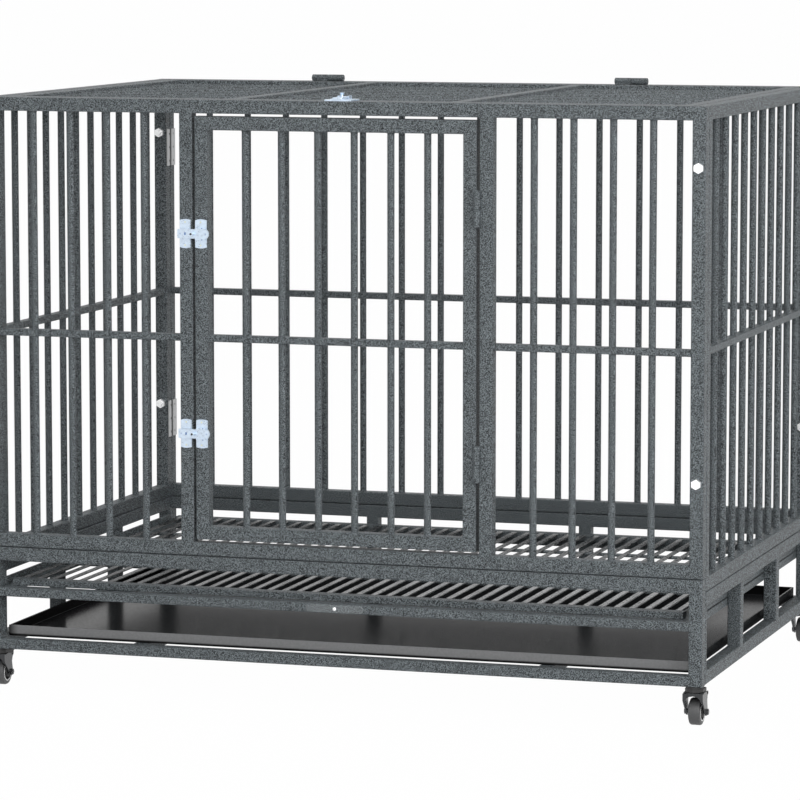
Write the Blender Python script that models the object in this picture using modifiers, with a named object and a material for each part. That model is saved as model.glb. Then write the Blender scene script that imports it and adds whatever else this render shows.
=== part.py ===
"""Two-piece heavy dog crate: barred steel cage on a tray base with casters.

Metres, +Z up, front of the crate towards -Y, origin on the floor under the middle.
"""
import math

import bmesh
import bpy
from mathutils import Matrix, Vector

# Cage
WIDTH = 1.092            # over the front panel
DEPTH = 0.751            # front face to back face
CAGE_H = 0.6661          # height of the cage above its base
TUBE = 0.020             # square frame tube
EDGE = 0.002             # rounded edge of a tube
SEAM = 0.0009            # paint gap between the cage and its base
JOIN = 0.0003            # gap left between two pieces that touch
BAR_D = 0.0104           # round bar
BAR_SIDES = 6
ROUND_SIDES = 10         # other small round pieces
BITE = 0.003             # how far a bar or a rail runs into its tube
RAIL_H = 0.010           # flat middle rail
RAIL_T = 0.015
RAIL_Z = 0.3197          # middle rail's centre above the cage's underside

# Front panel and its door
DOOR_OPEN_W = 0.434      # between the two door posts
SIDE_BARS = 4            # bars on each side of the doorway
DOOR_BARS = 6
DOOR_LATCH_GAP = 0.0035  # door to post, latch side
HINGE_GAP = 0.0045       # leaf to post, hinge side
DOOR_END_GAP = 0.004     # above and below the door

# Other panels
BACK_BARS = 15
SIDE_PANEL_BARS = 10

# Roof door
ROOF_GAP = 0.003
RIB_W = 0.018
ROOF_RIB_X = 0.170       # centre of each rib from the middle
ROOF_BARS = 10
ROOF_BAR_DROP = 0.0095   # bar centres below the roof's top face

# Base
BASE_H = 0.1536
LOW_RAIL_H = 0.0155      # front and back bottom rails
SIDE_RAIL_H = 0.0195
MID_RAIL_Z = 0.0792      # underside of the base's middle rail
MID_RAIL_H = 0.0138
TOP_RAIL_H = 0.0206
UPRIGHT_COUNT = 2        # uprights between the corner posts, sides and back
LEDGE_W = 0.030          # angle that carries the floor grate
LEDGE_WALL = 0.003
LEDGE_H = 0.0266         # its wall, up from the level of the middle rail's underside
RUNNER_W = 0.020         # tubes that the tray slides on
RUNNER_X = 0.311

# Floor grate
GRATE_GAP = 0.013        # end of the grate to the corner post
GRATE_T = 0.0095
GRATE_BORDER = 0.019
SLAT_PITCH = 0.0228
SLAT_W = 0.0086
SLAT_T = 0.002           # slats are strip, level with the top of the border
SLAT_DROP = 0.0001
CROSS_BARS = 3
CROSS_W = 0.016
CROSS_T = 0.0032         # cross bars carry the slats from below
GRATE_BACK = 0.0215      # grate's front edge behind the front face
GRATE_REAR = 0.003       # grate's back edge to the back frame

# Tray
TRAY_GAP = 0.0045        # tray rim to the corner post
TRAY_BACK = 0.025        # tray's front edge behind the front face
TRAY_H = 0.0165
TRAY_WALL = 0.0012
TRAY_BEND = 0.004        # bend between the tray's floor and its walls
TRAY_HEM = 0.0024        # height of the folded hem along the walls' top
TRAY_CORNER = 0.003

# Weld-on barrel hinges
BARREL_D = 0.0105
BARREL_L = 0.053
PIN_D = 0.006
PIN_PLAY = 0.00015
LUG_W = 0.007            # weld lug from each knuckle onto its frame
LUG_T = 0.0019
DOOR_HINGE_DROP = 0.1497            # upper hinge's centre below the cage's top
DOOR_HINGE_RISE = 0.1511            # lower hinge's centre above its underside
ROOF_HINGE_X = (-0.252, 0.252)

# Slide latches
LATCH_DROP = 0.1942                 # upper latch's centre below the cage's top
LATCH_RISE = 0.1799                 # lower latch's centre above its underside
LATCH_X_ROOF = 0.005
PLATE_H = 0.0425
PLATE_T = 0.002
PLATE_ARCH = 0.0014                 # rise of a plate's arched ends
KEEPER_W = 0.0165
CASE_W = 0.0173
PLATE_SET = 0.0019                  # plate edge to the gap between leaf and post
SLIDE_L = 0.048
SLIDE_H = 0.0135
SLIDE_T = 0.003
SLIDE_ARCH = 0.0032                 # rise of a slide's rounded tail
SLIDE_CORNER = 0.001
SLIDE_PLAY = 0.0003
SLIDE_NOSE = 0.0229                 # from the gap's centre to the slide's nose
LIP_W = 0.0016
LIP_LAP = 0.0009
LIP_T = 0.001
KNOB_D = 0.007
KNOB_NECK = 0.0042
KNOB_H = 0.0062
KNOB_SPLIT = 0.55                   # share of the knob's height in its neck and in its head

# Corner bolts and joining plates
BOLT_D = 0.008
BOLT_PLAY = 0.0006
HEAD_AF = 0.013                     # across flats
HEAD_T = 0.0053
NUT_T = 0.0065
BOLT_TAIL = 0.003                   # bolt beyond its nut
BOLT_DROP = 0.0862                  # upper bolts below the cage's top
BOLT_RISE = 0.1353                  # lower bolts above its underside
JOINER_W = 0.036
JOINER_H = 0.060
JOINER_T = 0.002
JOINER_CORNER = 0.002
JOINER_DROP = 0.1106
JOINER_RISE = 0.1095

# Turn button on the base's middle rail
BUTTON_L = 0.089
BUTTON_H = 0.0115
BUTTON_T = 0.002
BUTTON_PIN_D = 0.0055
BUTTON_PIN_T = 0.0016

# Casters
CASTER_H = 0.058                    # floor to the base's underside
CASTER_INSET = 0.013                # swivel axis in from the base's outer faces
WHEEL_R = 0.0195
WHEEL_W = 0.0175
WHEEL_SIDES = 14
HUB_W = 0.021
HUB_R = 0.0075
TRAIL = 0.012
AXLE_D = 0.006
AXLE_PLAY = 0.00015
AXLE_HEAD_D = 0.0095
AXLE_HEAD_T = 0.0028
STEM_D = 0.010
STEM_L = 0.028
STEM_HOLE = 0.030                   # depth of the hole for it
WASHER_D = 0.026
WASHER_T = 0.003
RACE_D = 0.028
RACE_T = 0.0045
SWIVEL_GAP = 0.0007
CROWN_W = 0.030
CROWN_D = 0.027
CROWN_T = 0.0022
CROWN_CORNER = 0.006
FORK_WALL = 0.002
FORK_SKIRT = 0.013
ARCH_SHARE = 0.72                   # height of the skirt's arch over its half width
BOSS_R = 0.006
PEDAL_W = 0.017
PEDAL_T = 0.0065
PEDAL_L = 0.021
PEDAL_TIP = 0.012
PIVOT_D = 0.003
PIVOT_BACK = 0.0035                 # pivot behind the crown
PIVOT_DROP = 0.0035                 # pivot below the crown's top
SHOE_L = 0.0068
SHOE_T = 0.003
EAR = 0.004

# Worked-out sizes
CAGE_Z = CASTER_H + BASE_H + SEAM
BASE_Z = CASTER_H
SIDE_BASE_H = BASE_H - TOP_RAIL_H        # base frames under the sides and the back
SIDE_Z = CAGE_Z - TOP_RAIL_H             # side and back panels stand on them
SIDE_H = CAGE_H + TOP_RAIL_H
LATCH_REACH = JOIN + PLATE_T + SLIDE_PLAY + SLIDE_T + KNOB_H
BARREL_REACH = JOIN + BARREL_D
BUTTON_REACH = JOIN + BUTTON_T + BUTTON_PIN_T
BOLT_REACH = JOIN + HEAD_T
WHEEL_REACH = TRAIL + WHEEL_R - CASTER_INSET
FRONT_REACH = max(LATCH_REACH, BARREL_REACH, BUTTON_REACH, BOLT_REACH)
BACK_REACH = max(WHEEL_REACH, BOLT_REACH)
FRONT = (FRONT_REACH - BACK_REACH - DEPTH) / 2
BACK = FRONT + DEPTH
MIDDLE = FRONT + DEPTH / 2
HALF = WIDTH / 2
DOOR_HINGE_Z = (CAGE_H - DOOR_HINGE_DROP, DOOR_HINGE_RISE)
LATCH_Z = (CAGE_H - LATCH_DROP, LATCH_RISE)
BOLT_Z = (CAGE_H - BOLT_DROP, BOLT_RISE)
JOINER_Z = (CAGE_H - JOINER_DROP, JOINER_RISE)
DOOR_OPEN_H = CAGE_H - 2 * TUBE
DOOR_W = DOOR_OPEN_W - DOOR_LATCH_GAP - HINGE_GAP
DOOR_H = DOOR_OPEN_H - 2 * DOOR_END_GAP
LATCH_GAP_X = -DOOR_OPEN_W / 2 + DOOR_LATCH_GAP / 2
HINGE_X = DOOR_OPEN_W / 2 - HINGE_GAP / 2
DOOR_X = (LATCH_GAP_X + DOOR_LATCH_GAP / 2 + HINGE_X - HINGE_GAP / 2) / 2
SIDE_LEN = DEPTH - 2 * TUBE - 2 * JOIN
BAR_R = BAR_D / 2
BARREL_R = BARREL_D / 2
HINGE_OUT = JOIN + BARREL_R
ROOF_W = WIDTH - 2 * TUBE - 2 * ROOF_GAP
ROOF_L = DEPTH - 2 * TUBE - ROOF_GAP - HINGE_GAP
ROOF_Y = FRONT + TUBE + ROOF_GAP + ROOF_L / 2
CAGE_TOP = CAGE_Z + CAGE_H
GRATE_Z = BASE_Z + MID_RAIL_Z + MID_RAIL_H + JOIN
GRATE_HALF = HALF - TUBE - GRATE_GAP
GRATE_L = DEPTH - TUBE - GRATE_BACK - GRATE_REAR
SLATS_EACH_WAY = int((GRATE_HALF - SLAT_W / 2) / SLAT_PITCH)
TRAY_Z = BASE_Z + LOW_RAIL_H + JOIN
TRAY_HALF = HALF - TUBE - TRAY_GAP
TRAY_L = DEPTH - TUBE - TRAY_BACK - TRAY_GAP
AXLE_Z = WHEEL_R
CROWN_TOP = BASE_Z - JOIN - WASHER_T - RACE_T - SWIVEL_GAP

PAINT = ((0.105, 0.122, 0.127), 0.55, 0.30)
GRATE_PAINT = ((0.150, 0.170, 0.175), 0.50, 0.30)
ZINC = ((0.70, 0.76, 0.85), 0.28, 0.90)
BOLT_ZINC = ((0.74, 0.75, 0.76), 0.32, 0.90)
CHROME = ((0.55, 0.56, 0.57), 0.22, 1.0)
TRAY_BLACK = ((0.030, 0.031, 0.033), 0.25, 0.40)
BLACK = ((0.012, 0.012, 0.013), 0.50, 0.0)
TREAD = ((0.170, 0.172, 0.175), 0.65, 0.0)

UPRIGHT = Matrix.Rotation(math.pi / 2, 4, "X")
SIDEWAYS = Matrix.Rotation(math.pi / 2, 4, "Z") @ UPRIGHT


def clear_scene():
    for obj in list(bpy.data.objects):
        bpy.data.objects.remove(obj, do_unlink=True)
    for curve in list(bpy.data.curves):
        bpy.data.curves.remove(curve)


def new_collection(name):
    group = bpy.data.collections.new(name)
    bpy.context.scene.collection.children.link(group)
    return group


def new_object(name, mesh, group):
    obj = bpy.data.objects.new(name, mesh)
    group.objects.link(obj)
    return obj


def finish(obj, look):
    """Give an object its own Principled material."""
    colour, roughness, metallic = look
    material = bpy.data.materials.new(obj.name)
    material.use_nodes = True
    shader = material.node_tree.nodes["Principled BSDF"]
    shader.inputs["Base Color"].default_value = (*colour, 1.0)
    shader.inputs["Roughness"].default_value = roughness
    shader.inputs["Metallic"].default_value = metallic
    material.diffuse_color = (*colour, 1.0)
    obj.data.materials.clear()
    obj.data.materials.append(material)
    return obj


def rect(x0, y0, x1, y1):
    return [(x0, y0), (x1, y0), (x1, y1), (x0, y1)]


def arc(cx, cy, radius, start, end, steps):
    """Points on a circle's arc, angles in degrees."""
    turn = [math.radians(start + (end - start) * i / steps) for i in range(steps + 1)]
    return [(cx + radius * math.cos(a), cy + radius * math.sin(a)) for a in turn]


def close_seams(shape):
    """Take out faces without height, then split each edge they leave open and weld it."""
    flat = [
        f for f in shape.faces
        if 2 * f.calc_area() < 0.000002 * max(e.calc_length() for e in f.edges)]
    bmesh.ops.delete(shape, geom=flat, context="FACES_ONLY")
    open_edges = [e for e in shape.edges if len(e.link_faces) == 1]
    corners = {v for e in open_edges for v in e.verts}
    for edge in open_edges:
        start, end = edge.verts
        run = end.co - start.co
        along = {v: (v.co - start.co).dot(run) / run.length_squared for v in corners}
        inside = sorted(
            (t, v.index) for v, t in along.items()
            if 0.0001 < t < 0.9999 and (start.co + t * run - v.co).length < 0.00001)
        done = 0.0
        for t, _ in inside:
            start = bmesh.utils.edge_split(edge, start, (t - done) / (1 - done))[1]
            done = t
    bmesh.ops.remove_doubles(shape, verts=shape.verts, dist=0.00001)


def outline_mesh(name, loops, thickness, edge=0.0):
    """Flat outline with holes in the XY plane, centred on z = 0, as a mesh."""
    curve = bpy.data.curves.new(name, "CURVE")
    curve.dimensions = "2D"
    curve.fill_mode = "BOTH"
    curve.extrude = thickness / 2 - edge
    curve.bevel_depth = edge
    curve.bevel_resolution = 0
    curve.offset = -edge
    for loop in loops:
        spline = curve.splines.new("POLY")
        spline.points.add(len(loop) - 1)
        for point, (x, y) in zip(spline.points, loop):
            point.co = (x, y, 0.0, 1.0)
        spline.use_cyclic_u = True
    holder = bpy.data.objects.new(name, curve)
    bpy.context.scene.collection.objects.link(holder)
    bpy.context.view_layer.update()
    ready = holder.evaluated_get(bpy.context.evaluated_depsgraph_get())
    mesh = bpy.data.meshes.new_from_object(ready)
    bpy.data.objects.remove(holder, do_unlink=True)
    bpy.data.curves.remove(curve)
    shape = bmesh.new()
    shape.from_mesh(mesh)
    bmesh.ops.remove_doubles(shape, verts=shape.verts, dist=0.00001)
    close_seams(shape)
    bmesh.ops.recalc_face_normals(shape, faces=shape.faces)
    shape.to_mesh(mesh)
    shape.free()
    mesh.name = name
    return mesh


def add_rod(shape, centre, axis, length, radius, sides, radius_end=None):
    """Add a closed cylinder to a bmesh, its length along the axis."""
    turn = Vector((0, 0, 1)).rotation_difference(Vector(axis)).to_matrix().to_4x4()
    bmesh.ops.create_cone(
        shape, cap_ends=True, segments=sides,
        radius1=radius, radius2=radius if radius_end is None else radius_end,
        depth=length, matrix=Matrix.Translation(Vector(centre)) @ turn)


def add_box(shape, centre, size, edge=0.0, along=None):
    """Add a box to a bmesh; its edges along one axis (0, 1 or 2) can be bevelled."""
    made = bmesh.ops.create_cube(shape, size=1.0)
    for vert in made["verts"]:
        vert.co = Vector([c + s * v for c, s, v in zip(centre, size, vert.co)])
    if edge:
        edges = {e for v in made["verts"] for e in v.link_edges}
        picked = [
            e for e in edges
            if abs((e.verts[0].co - e.verts[1].co).normalized()[along]) > 0.9]
        bmesh.ops.bevel(
            shape, geom=picked, offset=edge, segments=1, affect="EDGES", profile=0.5)


def shape_mesh(name, fill):
    """Run a function on a new bmesh and give back its mesh."""
    shape = bmesh.new()
    fill(shape)
    mesh = bpy.data.meshes.new(name)
    shape.to_mesh(mesh)
    shape.free()
    return mesh


def apply_boolean(obj, tool, operation):
    """Exact Boolean, applied to the object's mesh."""
    tool.hide_render = True
    tool.display_type = "WIRE"
    step = obj.modifiers.new(operation.title(), "BOOLEAN")
    step.operation = operation
    step.solver = "EXACT"
    step.object = tool
    bpy.context.view_layer.update()
    ready = obj.evaluated_get(bpy.context.evaluated_depsgraph_get())
    mesh = bpy.data.meshes.new_from_object(ready)
    obj.modifiers.clear()
    obj.data = mesh


def combine(obj, cutters, fill, operation="UNION"):
    """Join or cut an object with shapes that a function makes in its own space."""
    name = f"{obj.name}_{operation.lower()}_{len(cutters.objects)}"
    tool = new_object(name, shape_mesh(name, fill), cutters)
    tool.matrix_world = obj.matrix_world
    apply_boolean(obj, tool, operation)


def stand(obj, turn, place):
    obj.matrix_world = Matrix.Translation(Vector(place)) @ turn
    bpy.context.view_layer.update()


def smooth_rounds(obj, angle=35):
    """Shade round walls smooth and keep real corners sharp."""
    limit = math.radians(angle)
    shape = bmesh.new()
    shape.from_mesh(obj.data)
    for face in shape.faces:
        face.smooth = True
    for edge in shape.edges:
        if len(edge.link_faces) == 2 and edge.calc_face_angle() > limit:
            edge.smooth = False
    shape.to_mesh(obj.data)
    shape.free()


def even(low, high, count, width=0.0):
    """Centres of a number of bars that split an opening into equal gaps."""
    gap = (high - low - count * width) / (count + 1)
    return [low + (gap + width) * (i + 1) - width / 2 for i in range(count)]


def barred_panel(name, group, cutters, outer, openings, bars, rails, turn, place):
    """Welded frame: outline with openings, flat rails across, bars through them."""
    obj = new_object(name, outline_mesh(name, [outer] + openings, TUBE, EDGE), group)
    stand(obj, turn, place)

    def add_rails(shape):
        for x0, x1, y in rails:
            add_box(shape, ((x0 + x1) / 2, y, 0), (x1 - x0 + 2 * BITE, RAIL_H, RAIL_T))

    def add_bars(shape):
        for x, y0, y1 in bars:
            add_rod(shape, (x, (y0 + y1) / 2, 0), (0, 1, 0), y1 - y0 + 2 * BITE,
                    BAR_R, BAR_SIDES)

    combine(obj, cutters, add_rails)
    combine(obj, cutters, add_bars)
    return obj


def bolt_spots(z0=0.0):
    return [z0 + z for z in BOLT_Z]


def drill(obj, cutters, spots, axis, length, radius, sides=8):
    """Cut round holes; spots are centres in the object's own space."""
    def fill(shape):
        for spot in spots:
            add_rod(shape, spot, axis, length, radius, sides)
    combine(obj, cutters, fill, "DIFFERENCE")


def build_front_panel(group, cutters):
    low, high = TUBE, CAGE_H - TUBE
    door = DOOR_OPEN_W / 2
    inner = HALF - TUBE
    openings = [
        rect(-inner, low, -door - TUBE, high),
        rect(-door, low, door, high),
        rect(door + TUBE, low, inner, high)]
    sides = [(-inner, -door - TUBE), (door + TUBE, inner)]
    bars = [(x, low, high) for x0, x1 in sides for x in even(x0, x1, SIDE_BARS)]
    rails = [(x0, x1, RAIL_Z) for x0, x1 in sides]
    obj = barred_panel(
        "front_panel", group, cutters, rect(-HALF, 0, HALF, CAGE_H), openings,
        bars, rails, UPRIGHT, (0, FRONT + TUBE / 2, CAGE_Z))
    spots = [(s * (HALF - TUBE / 2), z, 0) for s in (-1, 1) for z in bolt_spots()]
    drill(obj, cutters, spots, (0, 0, 1), 2 * TUBE, BOLT_D / 2 + BOLT_PLAY)
    return obj


def build_back_panel(group, cutters):
    low, high = TUBE, SIDE_H - TUBE
    inner = HALF - TUBE
    bars = [(x, low, high) for x in even(-inner, inner, BACK_BARS)]
    obj = barred_panel(
        "back_panel", group, cutters, rect(-HALF, 0, HALF, SIDE_H),
        [rect(-inner, low, inner, high)], bars, [(-inner, inner, RAIL_Z + TOP_RAIL_H)],
        UPRIGHT, (0, BACK - TUBE / 2, SIDE_Z))
    spots = [(s * (HALF - TUBE / 2), z, 0) for s in (-1, 1) for z in bolt_spots(TOP_RAIL_H)]
    drill(obj, cutters, spots, (0, 0, 1), 2 * TUBE, BOLT_D / 2 + BOLT_PLAY)
    return obj


def build_side_panel(name, side, group, cutters):
    low, high = TUBE, SIDE_H - TUBE
    half = SIDE_LEN / 2
    inner = half - TUBE
    bars = [(x, low, high) for x in even(-inner, inner, SIDE_PANEL_BARS)]
    obj = barred_panel(
        name, group, cutters, rect(-half, 0, half, SIDE_H),
        [rect(-inner, low, inner, high)], bars, [(-inner, inner, RAIL_Z + TOP_RAIL_H)],
        SIDEWAYS, (side * (HALF - TUBE / 2), MIDDLE, SIDE_Z))
    spots = [(s * (half - TUBE / 2), z, 0) for s in (-1, 1) for z in bolt_spots(TOP_RAIL_H)]
    drill(obj, cutters, spots, (1, 0, 0), 2 * TUBE, BOLT_D / 2 + BOLT_PLAY)
    return obj


def build_front_door(group, cutters):
    """The door's origin is on its hinge axis, level with its underside."""
    right = DOOR_X + DOOR_W / 2 - HINGE_X
    left = right - DOOR_W
    low, high = TUBE, DOOR_H - TUBE
    bars = [(x, low, high) for x in even(left + TUBE, right - TUBE, DOOR_BARS)]
    rail = RAIL_Z - TUBE - DOOR_END_GAP
    z = CAGE_Z + TUBE + DOOR_END_GAP
    obj = barred_panel(
        "front_door", group, cutters, rect(left, 0, right, DOOR_H),
        [rect(left + TUBE, low, right - TUBE, high)], bars,
        [(left + TUBE, right - TUBE, rail)], UPRIGHT,
        (HINGE_X, FRONT + TUBE / 2, z))
    place_origin(obj, (HINGE_X, FRONT - HINGE_OUT, z))
    return obj


def place_origin(obj, point):
    """Move an object's origin and leave its mesh where it is."""
    old = obj.matrix_world.copy()
    new = old.copy()
    new.translation = Vector(point)
    obj.data.transform(new.inverted() @ old)
    obj.matrix_world = new


def build_roof_door(group, cutters):
    half_x, half_y = ROOF_W / 2, ROOF_L / 2
    in_x, in_y = half_x - TUBE, half_y - TUBE
    rib = RIB_W / 2
    ribs = [-ROOF_RIB_X, ROOF_RIB_X]
    cuts = [-in_x] + [x + s * rib for x in ribs for s in (-1, 1)] + [in_x]
    fields = list(zip(cuts[0::2], cuts[1::2]))
    openings = [rect(x0, -in_y, x1, in_y) for x0, x1 in fields]
    mesh = outline_mesh("roof_door", [rect(-half_x, -half_y, half_x, half_y)] + openings,
                        TUBE, EDGE)
    obj = new_object("roof_door", mesh, group)
    stand(obj, Matrix(), (0, ROOF_Y, CAGE_TOP - TUBE / 2))

    def add_bars(shape):
        for y in even(-in_y, in_y, ROOF_BARS):
            for x0, x1 in fields:
                add_rod(shape, ((x0 + x1) / 2, y, TUBE / 2 - ROOF_BAR_DROP), (1, 0, 0),
                        x1 - x0 + 2 * BITE, BAR_R, BAR_SIDES)

    combine(obj, cutters, add_bars)
    place_origin(obj, (0, BACK - TUBE - HINGE_GAP / 2, CAGE_TOP + HINGE_OUT))
    return obj


def build_end_frame(name, front, group, cutters):
    """Front or back of the base; the front leaves a slot for grate and tray."""
    inner = HALF - TUBE
    height = BASE_H if front else SIDE_BASE_H
    top = height - (TOP_RAIL_H if front else TUBE)
    slot = MID_RAIL_Z + MID_RAIL_H
    posts = [] if front else even(-inner, inner, UPRIGHT_COUNT, TUBE)
    cuts = [-inner] + [x + s * TUBE / 2 for x in posts for s in (-1, 1)] + [inner]
    openings = [rect(a, z0, b, z1) for z0, z1 in ((LOW_RAIL_H, MID_RAIL_Z), (slot, top))
                for a, b in zip(cuts[0::2], cuts[1::2])]
    mesh = outline_mesh(name, [rect(-HALF, 0, HALF, height)] + openings, TUBE, EDGE)
    obj = new_object(name, mesh, group)
    y = FRONT + TUBE / 2 if front else BACK - TUBE / 2
    stand(obj, UPRIGHT, (0, y, BASE_Z))
    stem_y = FRONT + CASTER_INSET if front else BACK - CASTER_INSET
    spots = [(s * (HALF - CASTER_INSET), 0, y - stem_y) for s in (-1, 1)]
    drill(obj, cutters, spots, (0, 1, 0), 2 * STEM_HOLE, STEM_D / 2 + BOLT_PLAY)
    return obj


def build_side_frame(name, side, group, cutters):
    half = SIDE_LEN / 2
    top = SIDE_BASE_H - TUBE
    posts = even(-DEPTH / 2 + TUBE, DEPTH / 2 - TUBE, UPRIGHT_COUNT, TUBE)
    ends = [-half + TUBE / 2, half - TUBE / 2]
    cuts = [ends[0]] + [x + s * TUBE / 2 for x in posts for s in (-1, 1)] + [ends[1]]
    openings = [rect(a, SIDE_RAIL_H, b, top) for a, b in zip(cuts[0::2], cuts[1::2])]
    mesh = outline_mesh(name, [rect(-half, 0, half, SIDE_BASE_H)] + openings, TUBE, EDGE)
    obj = new_object(name, mesh, group)
    stand(obj, SIDEWAYS, (side * (HALF - TUBE / 2), MIDDLE, BASE_Z))
    shelf = MID_RAIL_Z + MID_RAIL_H

    def fill_wall(shape):
        inward = -side * (TUBE / 2)
        add_box(shape,
                (0, MID_RAIL_Z + LEDGE_H / 2, inward - side * (LEDGE_WALL / 2 - 0.0005)),
                (SIDE_LEN, LEDGE_H, LEDGE_WALL + 0.001))

    def fill_flange(shape):
        inward = -side * (TUBE / 2)
        add_box(shape, (0, shelf - LEDGE_WALL / 2 - 0.0001, inward - side * LEDGE_W / 2),
                (SIDE_LEN - 0.0004, LEDGE_WALL, LEDGE_W))

    combine(obj, cutters, fill_wall)
    combine(obj, cutters, fill_flange)
    return obj


def build_runner(name, side, group):
    length = DEPTH - 2 * TUBE - 2 * JOIN

    def fill(shape):
        add_box(shape, (0, 0, 0), (RUNNER_W, length, LOW_RAIL_H), EDGE, 1)

    obj = new_object(name, shape_mesh(name, fill), group)
    stand(obj, Matrix(), (side * RUNNER_X, MIDDLE, BASE_Z + LOW_RAIL_H / 2))
    return obj


def build_grate(group, cutters):
    """Thin slats from front to back between two thicker borders, on cross bars."""
    half_y = GRATE_L / 2
    inner = half_y - GRATE_BORDER
    ends = SLATS_EACH_WAY * SLAT_PITCH + SLAT_W / 2
    slots = [
        rect(k * SLAT_PITCH + SLAT_W / 2, -inner, (k + 1) * SLAT_PITCH - SLAT_W / 2, inner)
        for k in range(-SLATS_EACH_WAY, SLATS_EACH_WAY)]
    mesh = outline_mesh("floor_grate", [rect(-ends, -inner - BITE, ends, inner + BITE)] + slots,
                        SLAT_T)
    obj = new_object("floor_grate", mesh, group)
    stand(obj, Matrix(), (0, FRONT + GRATE_BACK + half_y,
                          GRATE_Z + GRATE_T - SLAT_DROP - SLAT_T / 2))
    under = -SLAT_T / 2
    top = SLAT_T / 2 + SLAT_DROP

    def borders(shape):
        for side in (-1, 1):
            add_box(shape, (0, side * (half_y - GRATE_BORDER / 2), top - GRATE_T / 2),
                    (2 * GRATE_HALF, GRATE_BORDER, GRATE_T))

    def bars(shape):
        for y in even(-inner, inner, CROSS_BARS):
            add_box(shape, (0, y, under - CROSS_T / 2),
                    (2 * ends - SLAT_W, CROSS_W, CROSS_T))

    combine(obj, cutters, borders)
    combine(obj, cutters, bars)
    return obj


def build_tray(group, cutters):
    """Sheet pan with bent lower edges and a folded hem along the top of its walls."""
    x0, y0 = TRAY_HALF, TRAY_L / 2

    def pan(inset):
        def fill(shape):
            add_box(shape, (0, 0, TRAY_H / 2 + inset), (2 * (x0 - inset), 2 * (y0 - inset), TRAY_H),
                    TRAY_CORNER - inset, 2)
            low = [e for e in shape.edges if max(v.co.z for v in e.verts) < inset + JOIN]
            bmesh.ops.bevel(shape, geom=low, offset=TRAY_BEND - inset, segments=2,
                            affect="EDGES", profile=0.5)
        return fill

    obj = new_object("tray", shape_mesh("tray", pan(0.0)), group)
    stand(obj, Matrix(), (0, FRONT + TRAY_BACK + y0, TRAY_Z))
    combine(obj, cutters, pan(TRAY_WALL), "DIFFERENCE")
    half, wide = TRAY_WALL / 2, TRAY_WALL * 2
    hem = new_object("tray_hem", outline_mesh(
        "tray_hem", [rect(half - x0, half - y0, x0 - half, y0 - half),
                     rect(wide - x0, wide - y0, x0 - wide, y0 - wide)], TRAY_HEM), cutters)
    stand(hem, Matrix(), obj.location + Vector((0, 0, TRAY_H - TRAY_HEM / 2 - SLAT_DROP)))
    apply_boolean(obj, hem, "UNION")
    return obj


def barrel_hinge(label, axis, face, centre, group, cutters):
    """Two knuckles in line; the first carries the pin, the second is bored.

    Axis, and face towards the frames' surface, are world directions. The pin knuckle's
    frame lies along axis x face, the bored knuckle's on the other side.
    """
    length = (BARREL_L - JOIN) / 2
    turn = Vector((0, 0, 1)).rotation_difference(Vector(axis)).to_matrix().to_4x4()
    down = turn.inverted().to_3x3() @ Vector(face)
    side = Vector((0, 0, 1)).cross(down)
    pieces = []
    for word, sign in (("pin", -1), ("bored", 1)):
        middle = Vector((0, 0, sign * (length + JOIN) / 2))
        full = f"{label}_{word}_knuckle"
        obj = new_object(full, shape_mesh(full, lambda s: add_rod(
            s, middle, (0, 0, 1), length, BARREL_R, ROUND_SIDES)), group)
        stand(obj, turn, centre)
        at = middle + down * (BARREL_R - LUG_T / 2 - 0.00005) + side * (sign * LUG_W / 2)
        size = [abs(d) * LUG_T + abs(w) * LUG_W for d, w in zip(down, side)]
        size[2] = length - 0.002
        combine(obj, cutters, lambda s: add_box(s, at, size))
        if sign < 0:
            combine(obj, cutters, lambda s: add_rod(
                s, (0, 0, 0), (0, 0, 1), BARREL_L - 0.006, PIN_D / 2, ROUND_SIDES))
        else:
            combine(obj, cutters, lambda s: add_rod(
                s, (0, 0, 0), (0, 0, 1), BARREL_L - 0.005, PIN_D / 2 + PIN_PLAY, ROUND_SIDES),
                "DIFFERENCE")
        smooth_rounds(obj)
        finish(obj, PAINT)
        pieces.append(obj)
    return pieces


def plate_loop(x0, x1, height, rise):
    """Upright plate with slightly arched ends."""
    half = height / 2
    middle = (x0 + x1) / 2
    reach = (x1 - x0) / 2
    radius = (reach ** 2 + rise ** 2) / (2 * rise)
    span = math.degrees(math.asin(reach / radius))
    top = arc(middle, half - radius, radius, 90 - span, 90 + span, 4)
    bottom = arc(middle, radius - half, radius, 270 - span, 270 + span, 4)
    return top + bottom


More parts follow.
